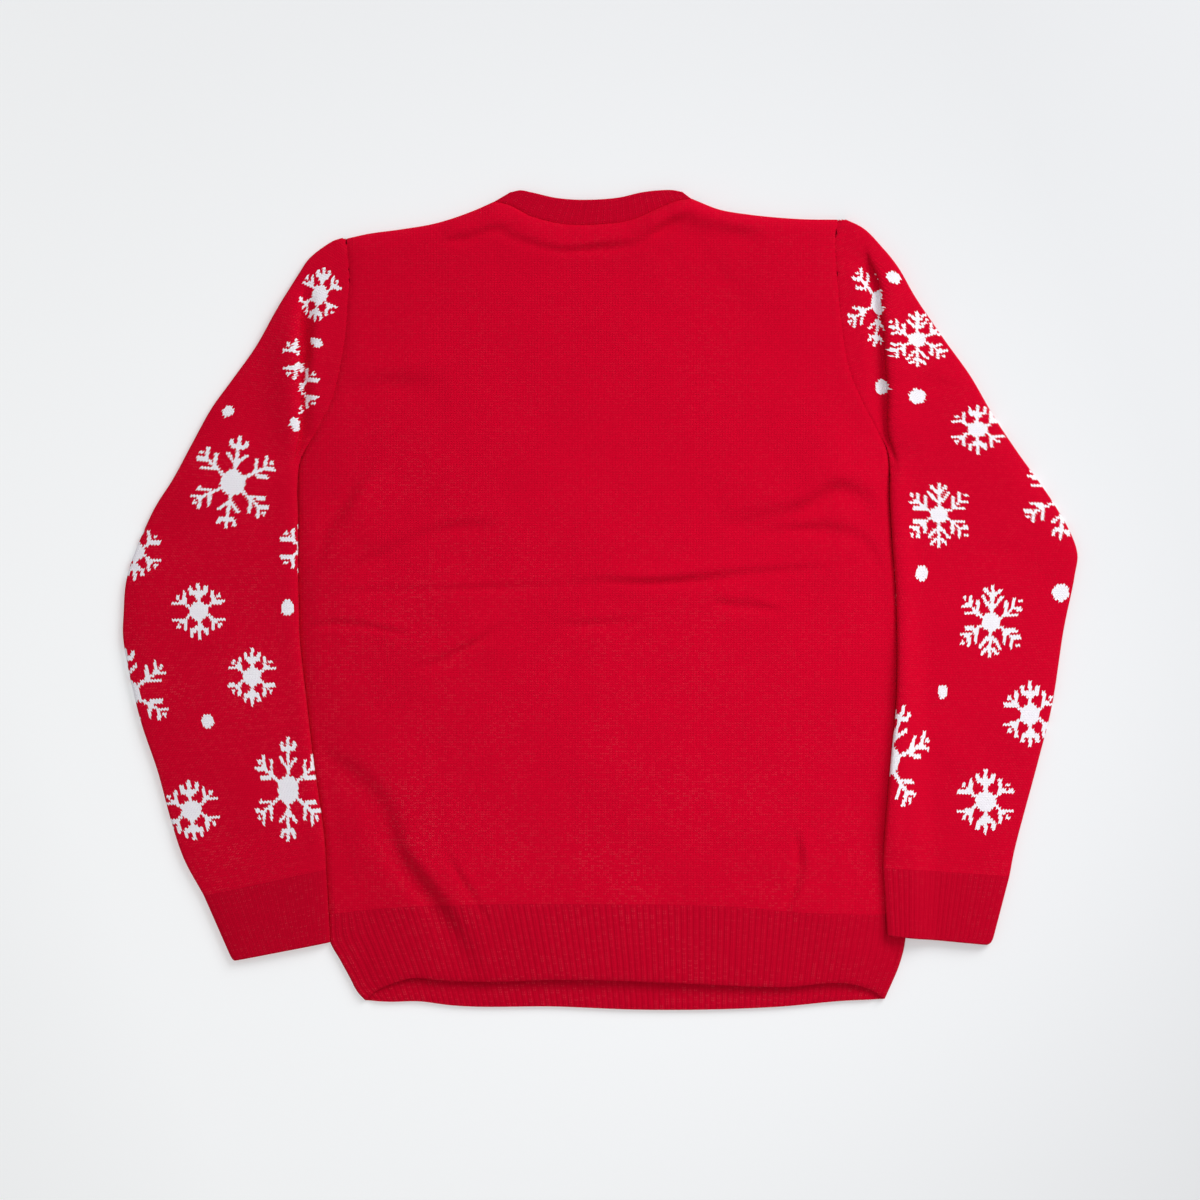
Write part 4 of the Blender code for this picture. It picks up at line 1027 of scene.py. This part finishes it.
# %% Snowflake drawings
Stroke = namedtuple("Stroke", "x0 y0 x1 y1 half")   # its ends and half its width, in mm
FLAKES = {
    "dot": (Stroke(0, 0, 0, 0, 6.0),),
    "small": (
        Stroke(0, 0, 0.4, 0, 8.3),
        Stroke(0, 8, 0, 12, 1.6), Stroke(0, 13.6, 2.2, 13.6, 1.6), Stroke(0, 16.3, 4.6, 16.3, 2.0),
        Stroke(0, 16, 0, 24.4, 1.6), Stroke(6.2, 16.5, 6.9, 20.8, 1.8),
        Stroke(8, 3.6, 11, 5.6, 1.3), Stroke(12.4, 7.6, 15.2, 9, 1.9),
        Stroke(12.6, 9, 12.4, 16.6, 1.6), Stroke(14, 7.8, 22.6, 7.9, 1.5),
        Stroke(18.4, 13.2, 18.6, 13.2, 1.8),
    ),
    "feather": (
        Stroke(0, 0, 0, 0.4, 8.2),
        Stroke(0, 8, 0, 31.6, 1.5), Stroke(1.5, 14, 4, 15.8, 1.5), Stroke(4, 15.8, 9.2, 23, 1.4),
        Stroke(2.5, 24.2, 6.6, 28.6, 1.5),
        Stroke(8, 4, 12, 6, 1.3), Stroke(12.8, 7, 12.8, 18, 1.6), Stroke(13, 6.8, 22.8, 6.8, 1.5),
        Stroke(14, 8.5, 18.5, 12.5, 1.1), Stroke(19.2, 13.2, 19.2, 21.8, 1.5),
        Stroke(19.5, 13.4, 22.5, 13.4, 1.9), Stroke(23, 12.8, 26.2, 12.8, 1.5),
        Stroke(25, 20.2, 25.2, 20.4, 1.7),
    ),
    "large": (
        Stroke(0, 0, 0, 0.4, 11.2),
        Stroke(0, 11, 0, 31, 1.6), Stroke(1, 17.5, 8.7, 25.6, 1.4),
        Stroke(0, 32.6, 4.5, 33.2, 2.1),
        Stroke(6.2, 33.4, 7.1, 37.2, 1.7), Stroke(0, 32, 0, 40.6, 1.6),
        Stroke(9, 6, 28, 18.5, 1.5), Stroke(18.4, 12, 18.4, 23, 1.6),
        Stroke(19.5, 9.8, 29.6, 9.6, 1.5),
        Stroke(26.4, 18, 26.6, 27.2, 1.6), Stroke(28.5, 17.4, 34.6, 17.2, 1.6),
        Stroke(31.4, 22.6, 31.8, 22.8, 1.8),
    ),
}


def in_flake(kind, x, y):
    """Whether points lie in a snowflake that is centred at the origin."""
    x, y = np.abs(x), np.abs(y)
    inside = np.zeros(np.shape(x), bool)
    for s in FLAKES[kind]:
        dx, dy = s.x1 - s.x0, s.y1 - s.y0
        t = np.clip(((x - s.x0) * dx + (y - s.y0) * dy) / max(dx * dx + dy * dy, 1e-9), 0, 1)
        inside |= np.hypot(x - s.x0 - t * dx, y - s.y0 - t * dy) <= s.half
    return inside


print("strokes in each drawing", {kind: len(strokes) for kind, strokes in FLAKES.items()})

# %% Places of the snowflakes
# turn: degrees clockwise; wide, high: how far the drawing is stretched
Motif = namedtuple("Motif", "kind x y turn wide high", defaults=(0, 1.0, 1.0))
LEFT_CAP_FLAKE = Motif("small", -252.9, 275.4, 9, 0.74, 0.96)
LEFT_TOP = (
    LEFT_CAP_FLAKE,
    Motif("small", -261.0, 216.0),
    Motif("large", -330.3, 104.4, 9),
    Motif("small", -418.5, 43.2),
    Motif("small", -263.7, 46.8),
    Motif("small", -360.0, -9.9, -2),
    Motif("small", -313.2, -68.4, 0, 0.9),
    Motif("large", -424.8, -83.7, -4, 1.0, 0.95),
    Motif("large", -280.8, -170.5, 0, 0.82, 1.12),
    Motif("small", -366.3, -188.1, -6, 1.03, 1.06),
    Motif("dot", -334.8, 170.1, -40, 0.98, 0.74),
    Motif("dot", -273.6, 157.5, 0, 0.86, 1.08),
    Motif("dot", -280.8, -6.3, 0, 1.0, 1.2),
    Motif("dot", -352.8, -108.0, 0, 0.92, 1.06),
)
LEFT_STRIP = (
    LEFT_CAP_FLAKE,
    Motif("small", -276.5, 190.0),
    Motif("dot", -256.5, 232.2, 28, 1.0, 0.62),
)
RIGHT_TOP = (
    Motif("feather", 286.2, 234.0, 0, 0.98, 0.76),
    Motif("small", 338.4, 153.9, 0, 1.0, 0.86),
    Motif("feather", 304.2, 77.4, 0, 0.97, 0.88),
    Motif("large", 418.0, 92.0, 6, 1.0, 0.9),
    Motif("feather", 351.9, -18.9, 3),
    Motif("small", 387.0, -102.6, 0, 1.0, 1.15),
    Motif("large", 257.4, -144.5, 17, 0.95, 1.23),
    Motif("small", 347.4, -181.8, 0, 1.06, 1.12),
    Motif("dot", 265.0, 290.2, 35, 1.15, 0.85),
    Motif("dot", 286.2, 182.7, 0, 1.26, 1.12),
    Motif("dot", 288.9, 24.3, 0, 0.92, 1.28),
    Motif("dot", 414.9, 7.2, 0, 1.28, 1.28),
    Motif("dot", 306.9, -82.8, 0, 0.7, 1.05),
)
RIGHT_STRIP = (
    Motif("large", 252.0, 268.4, 8, 0.80, 0.97),
    Motif("dot", 253.8, 191.7, 0, 1.0, 1.15),
)
WRAPPED = 34          # how far a snowflake goes on round the sleeve's outer edge
UNDER = (
    Motif("small", 300.0, 190.0, 8),
    Motif("dot", 330.0, 140.0),
    Motif("large", 316.0, 70.0, 10),
    Motif("feather", 352.0, -40.0, 0, 1.0, 0.9),
    Motif("dot", 300.0, -20.0),
    Motif("small", 302.0, -86.0, -6),
    Motif("dot", 352.0, -108.0),
    Motif("large", 330.0, -176.0, 0, 0.95, 0.95),
    Motif("small", 280.0, 10.0),
)
print("snowflakes and dots: left", len(LEFT_TOP), "right", len(RIGHT_TOP), "under", len(UNDER))

# %% Legs of white yarn


def white_legs(motifs, legs, stitches):
    """Which legs are white, each motif being drawn from the middle of the nearest stitch."""
    white = np.zeros(len(legs), bool)
    for m in motifs:
        far = np.hypot(stitches[:, 0] - m.x, stitches[:, 1] - m.y)
        nearest = stitches[np.argmin(far)] if far.min() < STITCH_WIDE else (m.x, m.y)
        dx, dy = legs[:, 0] - nearest[0], legs[:, 1] - nearest[1]
        turn = math.radians(m.turn)
        ax = (dx * math.cos(turn) - dy * math.sin(turn)) / m.wide
        ay = (dx * math.sin(turn) + dy * math.cos(turn)) / m.high
        white |= in_flake(m.kind, ax, ay)
    return white


def pattern(legs, stitches, part, outer, top_motifs, strip_motifs):
    """White legs on the upper layer, on the strip beside its fold, and underneath."""
    white = np.zeros(len(legs), bool)
    for motifs, here in ((top_motifs, part == 0), (strip_motifs, part == 1)):
        white[here] = white_legs(motifs, legs[here], stitches[here])
    low = part < 0
    below = [places[low, :2] for places in (legs, stitches)]
    mirrored = [2 * outer[low] - places for places in below]
    beneath = [np.abs(places) * (1, 0) + places * (0, 1) for places in below]
    inland = abs(below[0][:, 0] - outer[low, 0]) > WRAPPED
    white[low] = white_legs(top_motifs, *mirrored) | white_legs(UNDER, *beneath) & inland
    return white


# %% [markdown]
# ## Knitting the sleeves
#
# A sleeve is knitted in courses, each a row of stitches. A mesh could be cut to any
# pattern of faces, but here it is the knitting itself: points are set a half stitch apart
# along each course, and every second one hangs down, so each pair of faces is one V. Where
# the sleeve narrows, stitches are lost at its seam, as a knitter decreases, and triangles
# close the gap there.

# %% Courses of a sleeve
Course = namedtuple("Course", "points seam nose outer")
FREE_ROWS, SEWN = (7.33, 8.0, 8.71), (1.0, 0.6, 0.0)   # where a sleeve comes off the body's edge


def course_steps(table):
    """Places down the table for courses that are one course apart at the middle."""
    steps = np.linspace(0, len(table) - 1, 2000)
    rows = sleeve_rows(table, steps)
    middle = (rows[:, 0:2] + rows[:, 2:4]) / 2
    down = np.concatenate([[0.0], np.cumsum(np.linalg.norm(np.diff(middle, axis=0), axis=1))])
    courses = int(down[-1] / STITCH_HIGH)
    return np.interp(np.linspace(0, down[-1], courses + 1), down, steps)


def lay_courses(table, lifts, seed):
    """Each course round the sleeve: its points, its seam, its fold and its outer edge."""
    half = STITCH_WIDE / 2
    courses = []
    for step in course_steps(table):
        row = sleeve_rows(table, [step])[0]
        sewn = float(np.interp(step, FREE_ROWS, SEWN))
        calm = smooth((len(table) - 1 - step) / 1.2)
        up, laid_open, low, start, ahead, fold = across_sleeve(row, sewn, lifts, seed, calm)
        up_place, up_height = set_points(up, half, laid_open)
        low_place, low_height = set_points(low, half)
        place = np.concatenate([low_place[:0:-1], up_place])
        height = np.concatenate([low_height[:0:-1], up_height])
        seam = len(low_place) - 1
        nose = np.argmin(abs(up_place - fold)) if fold > 0 else len(up_place)
        points = lifted(start + ahead * place[:, None], height)
        courses.append(Course(points, seam, seam + nose, row[0:2]))
    return courses


def sink_stitches(courses):
    """Hangs every second point down towards the next course, which makes the Vs."""
    sunk = [course.points.copy() for course in courses]
    for points, here, there in zip(sunk, courses, courses[1:]):
        j = np.arange(len(here.points)) - here.seam
        k = j + there.seam
        odd = (j % 2 == 1) & (k >= 0) & (k < len(there.points))
        points[odd] = here.points[odd] + VEE * (there.points[k[odd]] - here.points[odd])
    return sunk


print("courses in the left sleeve", len(course_steps(LEFT_SLEEVE)) - 1)

# %% Faces of a sleeve


def stitch_at(column, course):
    """A point's place in the knitting, with its V."""
    return np.stack([column / 2, course + column % 2 * VEE], -1)


def close_end(cloth, seams, i, end, count, following):
    """Triangles at one end of two courses where one has more points than the other."""
    low = min(count, following)
    for step in range(low, max(count, following)):
        if count > following:
            corners = [(step, i), (low, i + 1), (step + 1, i)]
        else:
            corners = [(low, i), (step, i + 1), (step + 1, i + 1)]
        corners = corners[::end]
        cloth.add_faces(
            [[seams[course] + end * column for column, course in corners]],
            [[stitch_at(end * column, course) for column, course in corners]],
        )


def knit_sleeve(name, table, lifts, top_motifs, strip_motifs, seed):
    """A sleeve whose mesh has two columns of faces to each column of stitches."""
    courses = lay_courses(table, lifts, seed)
    points = sink_stitches(courses)
    cloth = Cloth()
    seams = [cloth.add_points(p)[course.seam] for p, course in zip(points, courses)]
    legs, stitches, parts, outers = [], [], [], []
    for i, (here, there) in enumerate(zip(courses, courses[1:])):
        a, b, upper, lower = here.seam, there.seam, points[i], points[i + 1]
        last_a, last_b = len(upper) - 1 - a, len(lower) - 1 - b
        j = np.arange(-min(a, b), min(last_a, last_b))
        first, second = seams[i] + j, seams[i + 1] + j
        cloth.add_faces(
            np.stack([first, second, second + 1, first + 1], 1),
            np.stack([
                stitch_at(j, i), stitch_at(j, i + 1), stitch_at(j + 1, i + 1), stitch_at(j + 1, i),
            ], 1),
        )
        centre = (j // 2) * 2 + 1
        over = upper[np.clip(centre + a, 0, len(upper) - 1)]
        under = lower[np.clip(centre + b, 0, len(lower) - 1)]
        stitches.append((over + under) / 2)
        legs.append((upper[a + j] + upper[a + j + 1] + lower[b + j] + lower[b + j + 1]) / 4)
        parts.append(np.where(j < 0, -1, j + a >= here.nose))
        outers.append(np.broadcast_to(here.outer, (len(j), 2)))
        close_end(cloth, seams, i, 1, last_a, last_b)
        close_end(cloth, seams, i, -1, a, b)
    obj = cloth.make(name, motif_knit)
    places = [np.concatenate(part) for part in (legs, stitches, parts, outers)]
    white = pattern(*places, top_motifs, strip_motifs)
    colours = np.ones((len(obj.data.loops), 4), np.float32)
    colours[:, :3] = 0.0
    colours[: 4 * len(white), :3] = np.repeat(white.astype(np.float32), 4)[:, None]
    layer = obj.data.color_attributes.new(name="motif", type="FLOAT_COLOR", domain="CORNER")
    layer.data.foreach_set("color", colours.ravel())
    print(name, "courses", len(courses) - 1, "white faces", int(white.sum()))
    return obj


# %% Both sleeves
sleeve_left = knit_sleeve("sleeve_l", LEFT_SLEEVE, False, LEFT_TOP, LEFT_STRIP, 3)
sleeve_right = knit_sleeve("sleeve_r", RIGHT_SLEEVE, True, RIGHT_TOP, RIGHT_STRIP, 5)
lay(sleeve_left, "sleeve_left")
lay(sleeve_right, "sleeve_right")

# %% [markdown]
# ## Cuffs
#
# Each cuff is a ribbed tube, picked up from the sleeve's last course and left open at
# the hand. A solidified sheet would end paper-thin. Here the edge is turned in a little
# way, so that the opening shows a round edge and the cloth goes on inside. The outer
# corner is rounded off, as soft ribs don't hold a sharp one.

# %% Places round a ribbed tube


def round_places(rings, ribs, turns):
    """Ribs and courses round a tube that has ribs on both sides and plain turned edges."""
    side = np.arange(ribs * RIB_STEPS + 1) / RIB_STEPS
    turn = np.arange(1, turns + 1) / (turns + 1.0)
    count = np.concatenate([
        side, ribs + turn, ribs + 1 + side, 2 * ribs + 1 + turn, [2 * ribs + 2.0],
    ])
    return rib_places(count, rings, closed=True)


# %% Measures of the cuffs
CUFF_RIBS = 22
CUFF_RISE = 0.36      # how far the ribs stand above their furrows
CUFF_ROWS = 44
LEFT_CORNER, RIGHT_CORNER = 1.3, 3.2   # how far a cuff's outer corner is rounded off
CORNER_LONG = 8.0     # length over which it is
TURNED_IN = ((1.006, 0.5), (1.004, 1.5), (0.97, 2.0), (0.8, 2.0))   # share of length, depth in
TURN = np.radians([72, 54, 36, 18, 0, -18, -36, -54, -72])   # round an edge, down to under it
print("rings of points on a cuff", CUFF_ROWS + len(TURNED_IN))

# %% Knitting a cuff


def knit_cuff(name, table, end, lifts, corner):
    wave = rib_wave(CUFF_RIBS)
    first, last = np.array(table[-1], float), np.array(end, float)
    length = np.linalg.norm(last[:2] - first[:2])
    rings = []
    for share, into in [(share, 0.0) for share in np.linspace(0, 1, CUFF_ROWS)] + list(TURNED_IN):
        row = first + (last - first) * share
        start, stop = row[2:4], row[0:2]
        width = np.linalg.norm(stop - start)
        ahead = (stop - start) / width
        width = width - corner * (1 - roll((1 - min(share, 1)) * length, CORNER_LONG))
        place = np.linspace(TUBE_ROUND, width - TUBE_ROUND, len(wave))
        low = sleeve_lift(start[1] + ahead[1] * place, place) if lifts else np.zeros(len(place))
        rise = SLEEVE_CROWN * roll(np.minimum(place, width - place), SLEEVE_ROLL)
        starts = smooth(share * length / 2.5)
        ribs = (RIB_WALL - WALL + CUFF_RISE * wave + RIB_LOFT) * starts
        top = low + 2 * WALL + TUBE_HOLLOW + rise + ribs
        under = low[::-1] + CUFF_RISE * (1 - wave) * roll(share * length + 0.4, 3.0)
        edge = TUBE_ROUND * (1 - np.cos(TURN))
        places = np.concatenate([place, width - edge, place[::-1], edge])
        heights = np.concatenate([
            top, rounded(top[-1], under[0], TURN), under, rounded(under[-1], top[0], TURN)
        ])
        far_mid, near_mid = (top[-1] + under[0]) / 2, (top[0] + under[-1]) / 2
        middle = np.concatenate([
            (top + low) / 2, np.full(len(TURN), far_mid),
            (top[::-1] + under) / 2, np.full(len(TURN), near_mid),
        ])
        reach = np.minimum(into, np.abs(heights - middle) - 0.15)
        heights = heights - np.sign(heights - middle) * np.maximum(reach, 0)
        at_edge = np.minimum(places, width - places) < 4
        places = places + np.clip(width / 2 - places, -1, 1) * into * at_edge
        rings.append(lifted(start + ahead * places[:, None], heights))
    rings = np.array(rings)
    cloth = Cloth()
    numbers = cloth.add_points(rings)
    numbers = np.concatenate([numbers, numbers[:, :1]], 1)
    cloth.add_grid(numbers, round_places(rings, CUFF_RIBS, len(TURN)))
    return cloth.make(name, rib_knit)


# %% Both cuffs
cuff_left = knit_cuff("cuff_l", LEFT_SLEEVE, LEFT_CUFF_END, False, LEFT_CORNER)
cuff_right = knit_cuff("cuff_r", RIGHT_SLEEVE, RIGHT_CUFF_END, True, RIGHT_CORNER)
lay(cuff_left, "cuff_left")
lay(cuff_right, "cuff_right")

# %% [markdown]
# ## Neckband
#
# The neckband is ribbed too. It stands up a little from the neck seam all round. Seen
# from above, its back half lies on top and its front half below, in the front's neckline.
# It could be two strips, but a real band is knitted round, so it is one closed wall.

# %% Edges of the neckband
BACK_NECK_EDGE = (
    (-80.0, 367.4), (-72.0, 369.0), (-63.0, 367.4), (-40.0, 362.2), (-9.0, 360.4),
    (18.0, 362.6), (38.0, 367.2), (52.0, 368.8), (66.0, 369.0), (73.5, 367.6),
)
FRONT_NECK_EDGE = (
    (-80.0, 367.4), (-66.0, 344.0), (-40.0, 323.0), (-8.0, 315.0), (28.0, 323.0),
    (54.0, 344.0), (73.5, 367.6),
)
NECK_RIBS = 30
NECK_ROWS = 22
NECK_RISE = 0.45      # how far the ribs stand above their furrows
print("ribs all round the neck", 2 * NECK_RIBS)

# %% Knitting the neckband


def knit_neckband():
    shares = np.linspace(0, 1, NECK_RIBS * RIB_STEPS + 1)
    back_seam, back_free = along(BACK_NECK, shares), along(BACK_NECK_EDGE, shares)
    front_seam, front_free = along(FRONT_NECK, shares), along(FRONT_NECK_EDGE, shares)
    wave = rib_wave(NECK_RIBS)
    turn = np.linspace(1.3, -1.3, 7)
    outer_rings, inner_rings = [], []
    for share in np.linspace(0, 1, NECK_ROWS):
        upper = back_seam + (back_free - back_seam) * share
        lower = (front_seam + (front_free - front_seam) * share)[::-1]
        level = np.maximum(back_level(upper[:, 0], back_seam[:, 1]), REST)
        reach = np.linalg.norm(back_free - back_seam, axis=1)
        ends = roll(share * reach + 0.3, 3.0) * roll((1 - share) * reach + 0.2, 2.2)
        middle = (level[0] + RIB_WALL) / 2
        bulge = np.stack([share * np.cos(turn), np.zeros(len(turn))], 1)
        top = level + RIB_WALL * (0.6 + 0.4 * ends) + (NECK_RISE * wave + RIB_LOFT) * ends
        low = NECK_RISE * (1 - wave[::-1]) + 0.5 * (1 - ends)
        outer_rings.append(np.concatenate([
            lifted(upper, top), lifted(upper[-1] + bulge, middle + middle * np.sin(turn)),
            lifted(lower, low), lifted(upper[0] - bulge, middle - middle * np.sin(turn)),
        ]))
        inner_rings.append(np.concatenate([
            lifted(upper, level), lifted(upper[-1] + bulge * 0.5, middle + 0.4 * np.sin(turn)),
            lifted(lower, np.full(len(lower), WALL)),
            lifted(upper[0] - bulge * 0.5, middle - 0.4 * np.sin(turn)),
        ]))
    outer, inner = np.array(outer_rings), np.array(inner_rings)
    cloth = Cloth()
    wall(cloth, outer, inner, round_places(outer, NECK_RIBS, len(turn)), closed=True)
    return cloth.make("collar", rib_knit)


collar = knit_neckband()
lay(collar, "neckband")

# %% [markdown]
# ## Floor, light and camera
#
# The jumper lies on a plain pale surface under soft light. Even light from all round
# keeps the shadows faint. A broad lamp from the upper right brings out the folds, and a
# soft pool from overhead, right of the middle, lets the light die away to the left. One
# strong lamp would do it too, but its shadows would be hard. The surface glows a little
# by itself, more where the lamps reach it less, so that it is evenly pale but still takes
# a soft shadow beside the cloth.

# %% Floor
bpy.ops.mesh.primitive_plane_add(size=6.0, location=(0, 0, -0.0003))
floor = bpy.context.object
floor.name = "floor"
pale = bpy.data.materials.new("pale_surface")
pale.use_nodes = True
tree = pale.node_tree
surface = tree.nodes["Principled BSDF"]
ground = add(tree, "ShaderNodeTexCoord", {}, (), "Object")
right = add(tree, "ShaderNodeSeparateXYZ", {}, (ground,), 0)
ahead = Wire(tree, right.socket.node.outputs[1])
lit = 0.5 + right * 0.90 + ahead * 0.37
glow = mix(tree, lit, (0.316, 0.320, 0.314, 1.0), (0.073, 0.074, 0.072, 1.0))
tree.links.new(glow.socket, surface.inputs["Emission Color"])
set_shader(surface, {
    "Base Color": (0.74, 0.75, 0.77, 1.0), "Roughness": 1.0,
    "Specular IOR Level": 0.0, "Emission Strength": 1.0,
})
floor.data.materials.append(pale)

# %% Light
world = bpy.data.worlds.new("studio")
world.use_nodes = True
set_shader(world.node_tree.nodes["Background"], {"Color": (1.0, 1.0, 1.0, 1.0), "Strength": 0.42})
bpy.context.scene.world = world


def lamp(name, kind, energy, place, target, **settings):
    data = bpy.data.lights.new(name, kind)
    data.energy = energy
    for setting, value in settings.items():
        setattr(data, setting, value)
    obj = bpy.data.objects.new(name, data)
    obj.location = place
    aim = obj.location.copy()
    aim.x, aim.y, aim.z = (t - p for t, p in zip(target, place))
    obj.rotation_mode = "QUATERNION"
    obj.rotation_quaternion = aim.to_track_quat("-Z", "Y")
    bpy.context.scene.collection.objects.link(obj)
    print(name, kind.lower(), energy, "W")
    return obj


POOL = (0.22, -0.10)  # the middle of the soft pool of light on the floor
lamp("broad_lamp", "AREA", 96.0, (2.1, 2.3, 2.1), (0, 0, 0), size=2.0)
lamp(
    "pool_lamp", "SPOT", 138.0, (*POOL, 3.2), (*POOL, 0),
    spot_size=math.radians(27), spot_blend=1.0, shadow_soft_size=0.5,
)

# %% Camera
CAMERA_HIGH = 2.556   # straight above the middle, in metres
camera = bpy.data.objects.new("camera", bpy.data.cameras.new("camera"))
camera.data.lens = 85.0
camera.data.sensor_width = 36.0
camera.location = (0.0, 0.0, CAMERA_HIGH)
camera.data.clip_end = 20.0
bpy.context.scene.collection.objects.link(camera)
bpy.context.scene.camera = camera
bpy.context.scene.view_settings.view_transform = "Standard"
print("camera", CAMERA_HIGH, "m up, lens", camera.data.lens, "mm")
